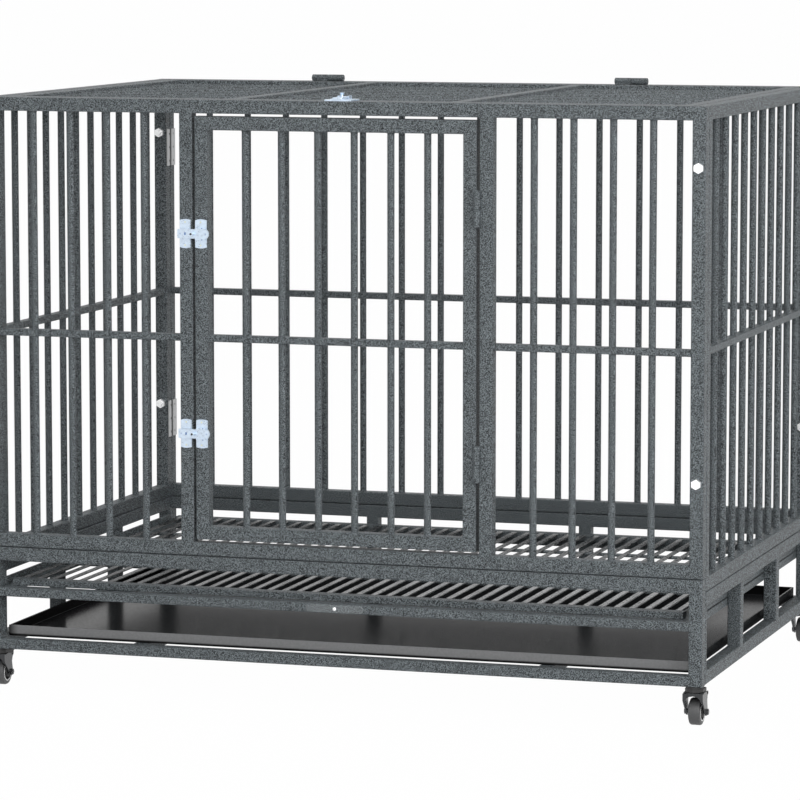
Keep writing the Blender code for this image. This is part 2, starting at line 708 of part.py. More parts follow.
def build_latch(label, turn, place, group, cutters):
    """Slide latch, drawn facing +Z with its gap at x = 0 and the moving leaf at +X."""
    half = DOOR_LATCH_GAP / 2
    base = JOIN
    lip_y = SLIDE_H / 2 + SLIDE_PLAY
    keeper_x = (-half - PLATE_SET - KEEPER_W, -half - PLATE_SET)
    case_x = (half + PLATE_SET, half + PLATE_SET + CASE_W)
    pieces = []
    for name, (x0, x1), lap in (("keeper", keeper_x, 0.0), ("case", case_x, LIP_LAP)):
        full = f"{label}_{name}"
        loop = plate_loop(x0, x1, PLATE_H, PLATE_ARCH)
        mesh = outline_mesh(full, [loop], PLATE_T)
        mesh.transform(Matrix.Translation((0, 0, base + PLATE_T / 2)))
        obj = new_object(full, mesh, group)
        stand(obj, turn, place)

        def lips(shape, x0=x0, x1=x1, lap=lap):
            rise = SLIDE_T + 2 * SLIDE_PLAY + LIP_T / 2 if lap else SLIDE_T * 0.7
            low = base + PLATE_T - 0.0005
            for sign in (-1, 1):
                add_box(shape,
                        ((x0 + x1) / 2, sign * (lip_y + LIP_W / 2), low + (rise + 0.0005) / 2),
                        (x1 - x0 - 0.002, LIP_W - 0.0001, rise + 0.0005))

        def laps(shape, x0=x0, x1=x1, lap=lap):
            z = base + PLATE_T + SLIDE_T + 2 * SLIDE_PLAY + LIP_T / 2
            for sign in (-1, 1):
                add_box(shape,
                        ((x0 + x1) / 2, sign * (lip_y + LIP_W / 2 - lap / 2), z - 0.00005),
                        (x1 - x0 - 0.0024, LIP_W + lap, LIP_T + 0.0001))

        combine(obj, cutters, lips)
        if lap:
            combine(obj, cutters, laps)
        finish(obj, ZINC)
        pieces.append(obj)
    nose = -SLIDE_NOSE
    tail = nose + SLIDE_L
    half_h = SLIDE_H / 2
    radius = (half_h ** 2 + SLIDE_ARCH ** 2) / (2 * SLIDE_ARCH)
    span = math.degrees(math.asin(half_h / radius))
    corner = SLIDE_CORNER
    loop = [(nose, half_h - corner), (nose, -half_h + corner), (nose + corner, -half_h)]
    loop += arc(tail - radius, 0, radius, -span, span, 6)
    loop += [(nose + corner, half_h)]
    full = f"{label}_slide"
    mesh = outline_mesh(full, [loop], SLIDE_T)
    level = base + PLATE_T + SLIDE_PLAY + SLIDE_T / 2
    mesh.transform(Matrix.Translation((0, 0, level)))
    slide = new_object(full, mesh, group)
    stand(slide, turn, place)
    foot = level + SLIDE_T / 2

    def knob(shape):
        neck = KNOB_H * KNOB_SPLIT
        add_rod(shape, (0, 0, foot + neck / 2 - 0.0005), (0, 0, 1), neck + 0.001,
                KNOB_NECK / 2, ROUND_SIDES)

    def knob_head(shape):
        head = KNOB_H * KNOB_SPLIT
        add_rod(shape, (0, 0, foot + KNOB_H - head / 2), (0, 0, 1), head,
                KNOB_NECK / 2 + 0.0002, 12, KNOB_D / 2)

    combine(slide, cutters, knob)
    combine(slide, cutters, knob_head)
    smooth_rounds(slide, 30)
    finish(slide, ZINC)
    pieces.append(slide)
    return pieces


def build_bolt(name, place, outward, group, cutters):
    """Hex bolt through two stiles with its nut, head outward along the y axis."""
    grip = 2 * TUBE + JOIN
    head_y = -outward * (JOIN + HEAD_T / 2)
    hex_r = HEAD_AF / 2 / math.cos(math.pi / 6)
    obj = new_object(name, shape_mesh(name, lambda s: add_rod(
        s, (0, -head_y, 0), (0, 1, 0), HEAD_T, hex_r, 6)), group)
    stand(obj, Matrix(), place)
    inner_end = grip + JOIN + NUT_T + BOLT_TAIL
    length = inner_end + JOIN + HEAD_T / 2
    combine(obj, cutters, lambda s: add_rod(
        s, (0, -outward * (inner_end - length / 2), 0), (0, 1, 0), length, BOLT_D / 2, 8))
    combine(obj, cutters, lambda s: add_rod(
        s, (0, -outward * (grip + JOIN + NUT_T / 2), 0), (0, 1, 0), NUT_T, hex_r, 6))
    finish(obj, BOLT_ZINC)
    return obj


def build_joiner(name, side, z, group):
    """Flat plate across the two stiles of a back corner."""
    obj = new_object(name, shape_mesh(name, lambda s: add_box(
        s, (side * JOINER_T / 2, 0, 0), (JOINER_T, JOINER_W, JOINER_H), JOINER_CORNER, 0)), group)
    stand(obj, Matrix(), (-side * (HALF - TUBE - JOIN), BACK - TUBE, z))
    finish(obj, BOLT_ZINC)
    return obj


def build_button(group, cutters):
    """Turn button; its origin is on the rivet it turns on."""
    half_l, half_h = BUTTON_L / 2 - BUTTON_H / 2, BUTTON_H / 2
    loop = arc(half_l, 0, half_h, -90, 90, 5) + arc(-half_l, 0, half_h, 90, 270, 5)
    mesh = outline_mesh("turn_button", [loop], BUTTON_T)
    mesh.transform(Matrix.Translation((0, 0, JOIN + BUTTON_T / 2)))
    obj = new_object("turn_button", mesh, group)
    stand(obj, UPRIGHT, (0, FRONT, BASE_Z + MID_RAIL_Z + MID_RAIL_H / 2))
    top = JOIN + BUTTON_T
    combine(obj, cutters, lambda s: add_rod(
        s, (0, 0, top + BUTTON_PIN_T / 2 - 0.0003), (0, 0, 1), BUTTON_PIN_T + 0.0006,
        BUTTON_PIN_D / 2, 10))
    finish(obj, ZINC)
    return obj


def wheel_profile():
    """Closed section of the wheel, (distance from the axle, along the axle)."""
    bore = AXLE_D / 2 + AXLE_PLAY
    half = WHEEL_W / 2
    hub = HUB_W / 2
    tread = WHEEL_R - 0.0045
    web = half - 0.0035
    side = [
        (bore, hub), (HUB_R, hub), (HUB_R + 0.001, web), (tread - 0.001, web),
        (WHEEL_R - 0.0025, half), (WHEEL_R, half - 0.003)]
    return side + [(r, -x) for r, x in reversed(side)]


def build_wheel(name, hold, group):
    """Revolved about the axle; the object's own Z is the axle."""
    points = wheel_profile()
    mesh = bpy.data.meshes.new(name)
    shape = bmesh.new()
    verts = [shape.verts.new((r, 0, x)) for r, x in points]
    for a, b in zip(verts, verts[1:] + verts[:1]):
        shape.edges.new((a, b))
    shape.to_mesh(mesh)
    shape.free()
    obj = new_object(name, mesh, group)
    spin = obj.modifiers.new("Revolve", "SCREW")
    spin.axis = "Z"
    spin.steps = WHEEL_SIDES
    spin.render_steps = WHEEL_SIDES
    spin.use_merge_vertices = True
    spin.merge_threshold = 0.00001
    spin.use_smooth_shade = True
    obj.parent = hold
    obj.matrix_parent_inverse = Matrix()
    obj.location = (0, TRAIL, AXLE_Z - BASE_Z)
    obj.rotation_euler = (0, math.pi / 2, 0)
    finish(obj, TREAD)
    return obj


def fork_leg_loop(braked):
    """Side of the fork, (along the trail, up) from the swivel axis."""
    front = -CROWN_D / 2
    back = CROWN_D / 2
    crown = CROWN_TOP - BASE_Z
    top = crown - CROWN_T / 2
    low = arc(TRAIL, AXLE_Z - BASE_Z, BOSS_R, 200, 380, 5)
    loop = [(back, top), (front, top), (front, top - FORK_SKIRT + 0.003)] + low
    loop.append((back + 0.001, top - FORK_SKIRT))
    if braked:
        y, z = back + PIVOT_BACK, crown - PIVOT_DROP
        loop += [(y, z - EAR), (y + EAR, z), (y + EAR, top), (y, top)]
    return loop


def build_caster(label, x, y, braked, group, cutters):
    hold = bpy.data.objects.new(f"{label}_swivel", None)
    group.objects.link(hold)
    hold.location = (x, y, BASE_Z)
    bpy.context.view_layer.update()

    def child(name, mesh):
        obj = new_object(name, mesh, group)
        obj.parent = hold
        bpy.context.view_layer.update()
        return obj

    washer = -JOIN - WASHER_T
    race = washer - RACE_T
    stem = child(f"{label}_stem", shape_mesh(label, lambda s: add_rod(
        s, (0, 0, (STEM_L - 0.002) / 2), (0, 0, 1), STEM_L + 0.002, STEM_D / 2, 8)))
    combine(stem, cutters, lambda s: add_rod(
        s, (0, 0, washer + WASHER_T / 2), (0, 0, 1), WASHER_T, WASHER_D / 2, ROUND_SIDES))
    combine(stem, cutters, lambda s: add_rod(
        s, (0, 0, race + (RACE_T + 0.0004) / 2), (0, 0, 1), RACE_T + 0.0004, RACE_D / 2, ROUND_SIDES))
    smooth_rounds(stem)
    finish(stem, CHROME)

    crown_top = CROWN_TOP - BASE_Z
    fork = child(f"{label}_fork", shape_mesh(label, lambda s: add_box(
        s, (0, 0, crown_top - CROWN_T / 2), (CROWN_W, CROWN_D, CROWN_T), CROWN_CORNER, 2)))
    leg_mesh = outline_mesh(label, [fork_leg_loop(braked)], FORK_WALL)
    for side in (-1, 1):
        leg = new_object(f"{label}_leg_{side}", leg_mesh.copy(), cutters)
        leg.matrix_world = (
            hold.matrix_world
            @ Matrix.Translation((side * (CROWN_W / 2 - FORK_WALL / 2 - 0.0002), 0, 0))
            @ SIDEWAYS)
        apply_boolean(fork, leg, "UNION")
    half = CROWN_W / 2 - 0.0006
    low = crown_top - FORK_SKIRT
    arch = arc(0, low, half - FORK_WALL - 0.0005, 0, 180, 6)
    arch = [(px, low + (py - low) * ARCH_SHARE) for px, py in arch]
    skirt_loop = [(-half, low), (-half, crown_top - CROWN_T / 2), (half, crown_top - CROWN_T / 2),
                  (half, low)] + arch
    skirt = new_object(f"{label}_skirt", outline_mesh(label, [skirt_loop], FORK_WALL), cutters)
    skirt.matrix_world = (
        hold.matrix_world @ Matrix.Translation((0, -CROWN_D / 2 + FORK_WALL / 2 + 0.0002, 0))
        @ UPRIGHT)
    apply_boolean(fork, skirt, "UNION")
    axle_z = AXLE_Z - BASE_Z
    axle_l = CROWN_W + 2 * AXLE_HEAD_T
    combine(fork, cutters, lambda s: add_rod(
        s, (0, TRAIL, axle_z), (1, 0, 0), axle_l, AXLE_D / 2, 10))

    def heads(shape):
        for side in (-1, 1):
            add_rod(shape, (side * (CROWN_W / 2 + AXLE_HEAD_T / 2 - 0.0005), TRAIL, axle_z),
                    (1, 0, 0), AXLE_HEAD_T, AXLE_HEAD_D / 2, 6)

    combine(fork, cutters, heads)
    if braked:
        drill(fork, cutters, [(0, CROWN_D / 2 + PIVOT_BACK, crown_top - PIVOT_DROP)],
              (1, 0, 0), 2 * CROWN_W, PIVOT_D / 2 + AXLE_PLAY, 8)
    smooth_rounds(fork)
    finish(fork, CHROME)

    wheel = build_wheel(f"{label}_wheel", hold, group)
    pieces = [stem, fork, wheel]
    if braked:
        pieces.append(build_pedal(f"{label}_brake", child, cutters, crown_top))
    return pieces


def build_pedal(name, child, cutters, crown_top):
    """Brake pedal with its shoe; its own origin is on the pin it tips on."""
    obj = child(name, shape_mesh(name, lambda s: add_rod(
        s, (0, 0, 0), (1, 0, 0), CROWN_W + 0.001, PIVOT_D / 2, 8)))
    obj.location = (0, CROWN_D / 2 + PIVOT_BACK, crown_top - PIVOT_DROP)
    bpy.context.view_layer.update()
    lift = PEDAL_T / 2 - 0.0015
    combine(obj, cutters, lambda s: add_box(
        s, (0, PEDAL_L / 2 - 0.002, lift), (PEDAL_W, PEDAL_L, PEDAL_T), 0.0012, 0))
    combine(obj, cutters, lambda s: add_box(
        s, (0, PEDAL_L + PEDAL_TIP / 2 - 0.004, lift), (PEDAL_W * 0.7, PEDAL_TIP, PEDAL_T / 3),
        0.0006, 0))
    combine(obj, cutters, lambda s: add_box(
        s, (0, SHOE_T / 2 - 0.0005, -SHOE_L / 2), (PEDAL_W * 0.8, SHOE_T, SHOE_L)))
    smooth_rounds(obj)
    finish(obj, BLACK)
    return obj


def main():
    clear_scene()
    crate = new_collection("dog_crate")
    cutters = new_collection("cutters")

    for maker in (build_front_panel, build_back_panel, build_front_door, build_roof_door):
        obj = maker(crate, cutters)
        smooth_rounds(obj, 50)
        finish(obj, PAINT)
    for word, side in (("left", -1), ("right", 1)):
        for obj in (
                build_side_panel(f"{word}_panel", side, crate, cutters),
                build_side_frame(f"base_{word}_frame", side, crate, cutters),
                build_runner(f"tray_runner_{word}", side, crate)):
            smooth_rounds(obj, 50)
            finish(obj, PAINT)
    for word, front in (("front", True), ("back", False)):
        obj = build_end_frame(f"base_{word}_frame", front, crate, cutters)
        smooth_rounds(obj, 50)
        finish(obj, PAINT)
    finish(build_grate(crate, cutters), GRATE_PAINT)
    finish(build_tray(crate, cutters), TRAY_BLACK)

    for word, z in zip(("upper", "lower"), DOOR_HINGE_Z):
        barrel_hinge(f"door_hinge_{word}", (0, 0, 1), (0, 1, 0),
                     (HINGE_X, FRONT - HINGE_OUT, CAGE_Z + z), crate, cutters)
    for word, x in zip(("left", "right"), ROOF_HINGE_X):
        barrel_hinge(f"roof_hinge_{word}", (-1, 0, 0), (0, 0, -1),
                     (x, BACK - TUBE - HINGE_GAP / 2, CAGE_TOP + HINGE_OUT), crate, cutters)

    for word, z in zip(("upper", "lower"), LATCH_Z):
        build_latch(f"door_latch_{word}", UPRIGHT, (LATCH_GAP_X, FRONT, CAGE_Z + z),
                    crate, cutters)
    lid = Matrix.Rotation(math.pi / 2, 4, "Z")
    build_latch("roof_latch", lid, (LATCH_X_ROOF, FRONT + TUBE + ROOF_GAP / 2, CAGE_TOP),
                crate, cutters)

    for end, y, outward in (("front", FRONT, -1), ("back", BACK, 1)):
        for word, side in (("left", -1), ("right", 1)):
            for level, z in zip(("upper", "lower"), bolt_spots(CAGE_Z)):
                build_bolt(f"bolt_{end}_{word}_{level}", (side * (HALF - TUBE / 2), y, z),
                           outward, crate, cutters)
    for word, side in (("left", 1), ("right", -1)):
        for level, z in zip(("upper", "lower"), JOINER_Z):
            build_joiner(f"joining_plate_{word}_{level}", side, CAGE_Z + z, crate)
    build_button(crate, cutters)

    for end, y in (("front", FRONT + CASTER_INSET), ("back", BACK - CASTER_INSET)):
        for word, side in (("left", -1), ("right", 1)):
            build_caster(f"caster_{end}_{word}", side * (HALF - CASTER_INSET), y,
                         end == "front", crate, cutters)
    for tool in cutters.objects:
        tool.hide_render = True
        tool.display_type = "WIRE"


main()
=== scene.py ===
"""Dog crate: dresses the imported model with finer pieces, finishes, a stage and a camera.

Metres, +Z up, front of the crate towards -Y, origin on the floor under the middle.
"""

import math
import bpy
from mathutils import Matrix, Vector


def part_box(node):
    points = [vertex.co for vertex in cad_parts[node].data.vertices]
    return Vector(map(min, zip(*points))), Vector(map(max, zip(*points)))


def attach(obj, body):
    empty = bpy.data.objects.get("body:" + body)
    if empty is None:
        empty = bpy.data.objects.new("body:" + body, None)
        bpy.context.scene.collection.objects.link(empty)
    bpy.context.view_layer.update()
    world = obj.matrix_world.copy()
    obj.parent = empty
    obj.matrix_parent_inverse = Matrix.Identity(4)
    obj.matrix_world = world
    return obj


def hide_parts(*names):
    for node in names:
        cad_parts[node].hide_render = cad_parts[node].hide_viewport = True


bl_info = {
    "name": "Dog Crate",
    "version": (1, 0, 0),
    "blender": (4, 5, 0),
    "location": "View3D > Sidebar > Dog Crate",
    "description": "Builds the visible pieces of a barred steel dog crate on its packed frame",
    "category": "Object",
}

import bmesh
import bpy
from bpy.props import FloatProperty, FloatVectorProperty, IntProperty, PointerProperty
from bpy.types import Operator, Panel, PropertyGroup
from mathutils import Euler, Matrix, Vector

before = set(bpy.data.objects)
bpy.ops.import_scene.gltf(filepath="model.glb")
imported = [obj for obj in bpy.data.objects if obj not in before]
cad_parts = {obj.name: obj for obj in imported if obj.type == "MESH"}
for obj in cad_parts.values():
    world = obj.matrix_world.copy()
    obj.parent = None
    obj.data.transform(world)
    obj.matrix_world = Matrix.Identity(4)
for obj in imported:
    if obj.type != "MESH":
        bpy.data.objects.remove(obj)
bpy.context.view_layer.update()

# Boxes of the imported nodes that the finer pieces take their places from
FRONT_LOW, FRONT_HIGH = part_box("front_panel")
BACK_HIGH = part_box("back_panel")[1]
SIDE_LOW, SIDE_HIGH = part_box("right_panel")
DOOR_LOW, DOOR_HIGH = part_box("front_door")
ROOF_LOW, ROOF_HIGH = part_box("roof_door")
BASE_LOW, BASE_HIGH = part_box("base_front_frame")
GRATE_LOW, GRATE_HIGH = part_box("floor_grate")
TRAY_LOW, TRAY_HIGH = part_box("tray")
SIDE_BASE_LOW, SIDE_BASE_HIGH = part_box("base_right_frame")

HALF = FRONT_HIGH.x
TUBE = FRONT_HIGH.y - FRONT_LOW.y
CAGE_Z = FRONT_LOW.z
CAGE_H = FRONT_HIGH.z - FRONT_LOW.z
FRONT = FRONT_LOW.y
BACK = BACK_HIGH.y
BASE_Z = BASE_LOW.z
BASE_H = BASE_HIGH.z - BASE_LOW.z
CAGE_TOP = FRONT_HIGH.z
SIDE_Z = SIDE_LOW.z
SIDE_H = SIDE_HIGH.z - SIDE_LOW.z
SIDE_DROP = CAGE_Z - SIDE_Z
SIDE_BASE_H = SIDE_BASE_HIGH.z - SIDE_BASE_LOW.z

# Spacing inside the panels
DOOR_OPEN_HALF = 0.217
SIDE_BARS = 4
DOOR_BARS = 6
BACK_BARS = 15
SIDE_PANEL_BARS = 10
ROOF_BARS = 10
ROOF_RIB_X = 0.170
ROOF_RIB_W = 0.018
ROOF_BAR_DROP = 0.0095
CAGE_RAIL_Z = 0.3197
BITE = 0.002             # how far a bar or a rail runs into its tube
RAIL_EDGE = 0.0008
RAIL_WELD = 0.7          # a weld at the middle rail, as a share of one at a tube
WELD_SINK = 0.0004       # how far a weld runs into its tube
WELD_BITE = 0.0006       # how far it runs into its bar
WELD_LIP = 0.0001        # height of its foot over the tube's face
WELD_CURVE = ((0.30, 0.42), (0.95, 0.10))    # (up the bar, out from it), as shares of its reach
WELD_TOP = 1.1
SHARP = 0.5              # radians; a tube's edge that turns less than this isn't rounded
LEVEL = 0.0001           # heights closer than this count as the same
ON_AXIS = 0.000001       # a smaller radius closes a turned shape to a point

# Base
LOW_RAIL_H = 0.0155
SIDE_RAIL_H = 0.0195
MID_RAIL_Z = 0.0792
MID_RAIL_H = 0.0138
TOP_RAIL_H = 0.0206
UPRIGHT_COUNT = 2
LEDGE_W = 0.030
LEDGE_WALL = 0.003
LEDGE_H = 0.0266
LEDGE_EDGE = 0.0006

# Floor grate; its slats are painted lighter at the front right, as painted reflection, and darker
# behind and to the left, as painted shade
GRATE_BORDER = 0.019
BORDER_DROP = 0.0002     # how far the borders reach down into the gap over the rails
BORDER_EDGE = 0.0005
SLAT_PITCH = 0.0228
SLAT_W = 0.0086
SLAT_T = 0.002
SLAT_BITE = 0.001        # how far a slat runs into its borders
CROSS_BARS = 3
CROSS_W = 0.016
CROSS_T = 0.0032
CROSS_EDGE = 0.0006
SLAT_LIGHT_Y = (GRATE_LOW.y + 0.18, GRATE_LOW.y + 0.42)
SLAT_LIGHT_X = (-0.04, 0.08)
SLAT_SHADE_SHARE = 0.4

# Tray; its floor shines along the front and the right side, and is dull elsewhere
TRAY_WALL = 0.0012
TRAY_BEND = 0.0026
TRAY_HEM = 0.0024
HEM_EDGE = 0.0004
BEND_STEPS = 5
TRAY_SHINE = 0.028
SHINE_Y = (TRAY_LOW.y + 0.34, TRAY_LOW.y + 0.48)
SHINE_X = (TRAY_HIGH.x - 0.12, TRAY_HIGH.x - 0.06)
FLOOR_Z = (TRAY_LOW.z + TRAY_WALL, TRAY_LOW.z + TRAY_WALL * 2)
FLOOR_PAINTED_LIGHT = 4.0         # how much lighter the floor is painted than the walls: painted light on the floor, painted shade on the walls
FRONT_COAT_Y = (TRAY_LOW.y + TRAY_WALL / 2, TRAY_LOW.y + TRAY_WALL / 2 + 0.0002)
FRONT_COAT_Z = (TRAY_LOW.z + 0.0030, TRAY_LOW.z + 0.0050)
FRONT_COAT_X = (TRAY_LOW.x, TRAY_LOW.x + 0.014)
BEND_PAINTED_SHADE = 0.06        # painted shade: what is left of the front wall's coat on its lower bend
CORNER_PAINTED_SHADE = 0.04      # and at its left corner, also painted shade
DUST = (0.93, 1.07)      # darkest and lightest share of that coat under dust

# Hinges
JOIN = 0.0003            # gap left between two pieces that touch
HINGE_GAP = 0.0045
BARREL_D = 0.0105
BARREL_EDGES = (0.0006, 0.0010)
BARREL_SIDES = 28
LUG_W = 0.007
LUG_HALF_T = 0.0012
LUG_EDGE = 0.0005
LUG_SHARE = 0.44         # half length of a lug, as a share of its knuckle
LUG_REACH = 0.72         # how far its middle stands in, as a share of the barrel's radius

# Slide latches, with flat marks sunk a little into their faces
LATCH_GAP = 0.0035
LATCH_DROP = 0.1942
LATCH_RISE = 0.1799
LATCH_X_ROOF = 0.005
ROOF_GAP = 0.003
LATCH_EDGE = 0.0004
PLATE_T = 0.002
PLATE_X = 0.0119
SLIDE_TOP = 0.0056
LIP_TOP = 0.0071
KNOB_TOP = 0.0118
SINK = 0.0001
DISC_SIDES = 20
SPOT_Y = 0.0168
SPOT_R = 0.0013
SPOT_T = 0.00018
MARK_T = 0.0002
MARK_EDGE = 0.0005
SLIDE_MARK_X = (-0.0122, -0.0098)
SLIDE_MARK_Y = (-0.0018, 0.0020)
SLIDE_END_X = (-0.0185, 0.0205)
LIP_MARK_X = 0.0155
LIP_MARK_Y = 0.0083
LIP_MARK_R = 0.0008
KNOB_HOLE_R = 0.0017
KNOB_HOLE_T = 0.00012

# Bolts
BOLT_EDGE = 0.0005
BOLT_ROUGH = 0.45

# Joining plates
JOINER_ROUGH = 0.5
GROOVE = (-0.007, 0.001)
GROOVE_DEPTH = 0.0008
GROOVE_OVER = 0.0002     # how far the groove's floor runs under the strips
GROOVE_END = 0.001
STRIP_EDGE = 0.0006
SCREW_Y = (-0.0090, 0.0085)
SCREW_Z = (-0.022, 0.0, 0.022)
SCREW_R = 0.0017
SCREW_H = 0.0006
SCREW_SIDES = 16

# Turn button
BUTTON_T = 0.002
BUTTON_EDGE = 0.0006
ARC_STEPS = 16
RIVET_R = 0.0027
RIVET_FOOT = 0.0004      # how far the rivet runs into the strip
RIVET_CROWN = ((0.4, 0.0026), (0.8, 0.0017), (1.0, 0.0))     # (share of its height, radius)
RIVET_SIDES = 24

# Casters
WHEEL_SIDES = 56
CORE_SIDES = 40
FORK_EDGE = 0.0004
STEM_EDGE = 0.0003
BRAKE_EDGE = 0.0008
HUB_PROUD = 0.00175      # how far the hub stands out past the tread
HUB_EDGE = 0.0006
HUB_RADII = (0.00315, 0.0070, 0.0075, 0.0085)    # bore, face, past its edge, foot on the web
WEB_IN = 0.0035          # how far the web lies in from the tread's side
WEB_DROP = 0.0066        # how far below the tread it ends
# Half of the tyre's section, as (in from its side, in from its tread)
TYRE = ((WEB_IN, 0.0068), (0.0, 0.0062), (0.0, 0.0030), (0.0009, 0.0009), (0.0030, 0.0))
RING_IN, RING_PROUD = 0.0006, 0.0003
RING_DROPS = (0.0070, 0.0056)

# Stage
FLOOR_HALF = 60.0
FLOOR_WHITE = 0.99       # the rest of the floor's look is its lit surface, for the shadow
LAMP_TARGET = (0.0, 0.0, 0.45)
LAMPS = (                # name, place, width, setting that holds its power
    ("right_lamp", (4.2, -2.2, 2.2), 2.6, "key"),
    ("front_lamp", (0.8, -4.6, 2.4), 3.0, "fill"),
    ("top_lamp", (0.0, -0.4, 4.5), 2.5, "top"))

UPRIGHT = Matrix.Rotation(math.pi / 2, 4, "X")
SIDEWAYS = Matrix.Rotation(math.pi / 2, 4, "Z") @ UPRIGHT


class CrateSizes(PropertyGroup):
    """Sizes of the finer pieces."""

    tube_edge: FloatProperty(
        name="Tube edge", description="Rounding of the square tubes' edges",
        default=0.0018, min=0.0002, max=0.006, subtype="DISTANCE", unit="LENGTH")
    bar_d: FloatProperty(
        name="Bar diameter", description="Diameter of the round bars",
        default=0.0104, min=0.004, max=0.018, subtype="DISTANCE", unit="LENGTH")
    bar_sides: IntProperty(
        name="Bar sides", description="Faces round one bar", default=20, min=8, max=64)
    weld: FloatProperty(
        name="Weld size", description="Reach of the weld where a bar meets a tube",
        default=0.0014, min=0.0, max=0.004, subtype="DISTANCE", unit="LENGTH")
    rail_h: FloatProperty(
        name="Rail height", description="Height of the flat rail that the bars pass through",
        default=0.010, min=0.004, max=0.02, subtype="DISTANCE", unit="LENGTH")
    rail_t: FloatProperty(
        name="Rail thickness", description="Thickness of the flat rail",
        default=0.015, min=0.006, max=0.02, subtype="DISTANCE", unit="LENGTH")
    slat_edge: FloatProperty(
        name="Slat edge", description="Rounding of the grate's slats",
        default=0.0005, min=0.0002, max=0.004, subtype="DISTANCE", unit="LENGTH")


class CrateFinish(PropertyGroup):
    """Colours of the finishes, as they are without light or shade, except the grate's and the
    groove's, which hold painted light and shade.
    """

    paint: FloatVectorProperty(
        name="Paint", description="Hammered powder coat on the frames",
        default=(0.097, 0.110, 0.117), min=0.0, max=1.0, size=3, subtype="COLOR")
    # The grate's colour is the painted reflection on the front right slats; slat_paint darkens it
    # elsewhere as painted shade.
    grate: FloatVectorProperty(
        name="Grate", description="Powder coat on the floor grate's slats",
        default=(0.285, 0.295, 0.300), min=0.0, max=1.0, size=3, subtype="COLOR")
    zinc: FloatVectorProperty(
        name="Zinc", description="Bright zinc of the slide latches",
        default=(0.620, 0.720, 0.840), min=0.0, max=1.0, size=3, subtype="COLOR")
    bolt_zinc: FloatVectorProperty(
        name="Bolt zinc", description="Zinc of bolts and joining plates",
        default=(0.950, 0.955, 0.960), min=0.0, max=1.0, size=3, subtype="COLOR")
    chrome: FloatVectorProperty(
        name="Chrome", description="Plating of the caster forks and stems",
        default=(0.066, 0.068, 0.071), min=0.0, max=1.0, size=3, subtype="COLOR")
    tray: FloatVectorProperty(
        name="Tray", description="Glossy dark enamel inside the tray",
        default=(0.0065, 0.0067, 0.0072), min=0.0, max=1.0, size=3, subtype="COLOR")
    rubber: FloatVectorProperty(
        name="Tread", description="Grey tread of the wheels",
        default=(0.085, 0.086, 0.088), min=0.0, max=1.0, size=3, subtype="COLOR")
    plastic: FloatVectorProperty(
        name="Plastic", description="Black plastic of the brake pedals",
        default=(0.014, 0.014, 0.015), min=0.0, max=1.0, size=3, subtype="COLOR")
    tray_front: FloatVectorProperty(
        name="Tray front", description="Lighter coat on the tray's front wall",
        default=(0.255, 0.258, 0.262), min=0.0, max=1.0, size=3, subtype="COLOR")
    spot: FloatVectorProperty(
        name="Weld spots", description="Spot marks on the latch plates",
        default=(0.700, 0.720, 0.560), min=0.0, max=1.0, size=3, subtype="COLOR")
    mark: FloatVectorProperty(
        name="Slide marks", description="Small blue marks on the latch slides",
        default=(0.130, 0.220, 0.440), min=0.0, max=1.0, size=3, subtype="COLOR")
    pale: FloatVectorProperty(
        name="Slide ends", description="Faint marks near the ends of the latch slides",
        default=(0.440, 0.540, 0.720), min=0.0, max=1.0, size=3, subtype="COLOR")
    joiner: FloatVectorProperty(
        name="Joining plates", description="Dull zinc of the joining plates",
        default=(0.480, 0.485, 0.490), min=0.0, max=1.0, size=3, subtype="COLOR")
    groove: FloatVectorProperty(
        name="Groove", description="Shade in a joining plate's groove and screws",
        default=(0.060, 0.062, 0.065), min=0.0, max=1.0, size=3, subtype="COLOR")
    button: FloatVectorProperty(
        name="Turn button", description="Paint on the turn button",
        default=(0.150, 0.165, 0.172), min=0.0, max=1.0, size=3, subtype="COLOR")
    washer: FloatVectorProperty(
        name="Washer", description="Black stems and washers of the casters",
        default=(0.020, 0.020, 0.021), min=0.0, max=1.0, size=3, subtype="COLOR")
    ring: FloatVectorProperty(
        name="Rim ring", description="Pale ring on each side of a wheel",
        default=(0.930, 0.930, 0.930), min=0.0, max=1.0, size=3, subtype="COLOR")
    speckle: FloatProperty(
        name="Speckle", description="Width of one light or dark fleck in the paint",
        default=0.0011, min=0.0005, max=0.02, subtype="DISTANCE", unit="LENGTH")


class CrateStage(PropertyGroup):
    """Floor, lamps and camera."""

    lens: FloatProperty(
        name="Lens", description="Focal length of the camera",
        default=187.6, min=20.0, max=600.0, unit="CAMERA")
    eye: FloatVectorProperty(
        name="Camera place", description="Where the camera stands",
        default=(1.8855, -6.04485, 1.1313), size=3, subtype="TRANSLATION", unit="LENGTH")
    pitch: FloatProperty(
        name="Camera tilt", description="Downward tilt of the camera",
        default=math.radians(6.52), subtype="ANGLE", unit="ROTATION")
    yaw: FloatProperty(
        name="Camera turn", description="Turn of the camera to the left of the depth axis",
        default=math.radians(17.5), subtype="ANGLE", unit="ROTATION")
    sky: FloatProperty(
        name="Room light", description="Strength of the even light from all round",
        default=0.11, min=0.0, max=2.0, subtype="FACTOR")
    key: FloatProperty(
        name="Right lamp", description="Power of the large soft lamp on the right",
        default=100.0, min=0.0, max=5000.0, unit="POWER")
    fill: FloatProperty(
        name="Front lamp", description="Power of the large soft lamp in front",
        default=104.0, min=0.0, max=5000.0, unit="POWER")
    top: FloatProperty(
        name="Top lamp", description="Power of the soft lamp overhead",
        default=44.0, min=0.0, max=5000.0, unit="POWER")
    floor: FloatVectorProperty(
        name="Floor", description="Colour of the plain floor",
        default=(0.82, 0.82, 0.82), min=0.0, max=1.0, size=3, subtype="COLOR")


def sizes():
    return bpy.context.scene.crate_sizes


def finish():
    return bpy.context.scene.crate_finish


def stage():
    return bpy.context.scene.crate_stage


# Materials

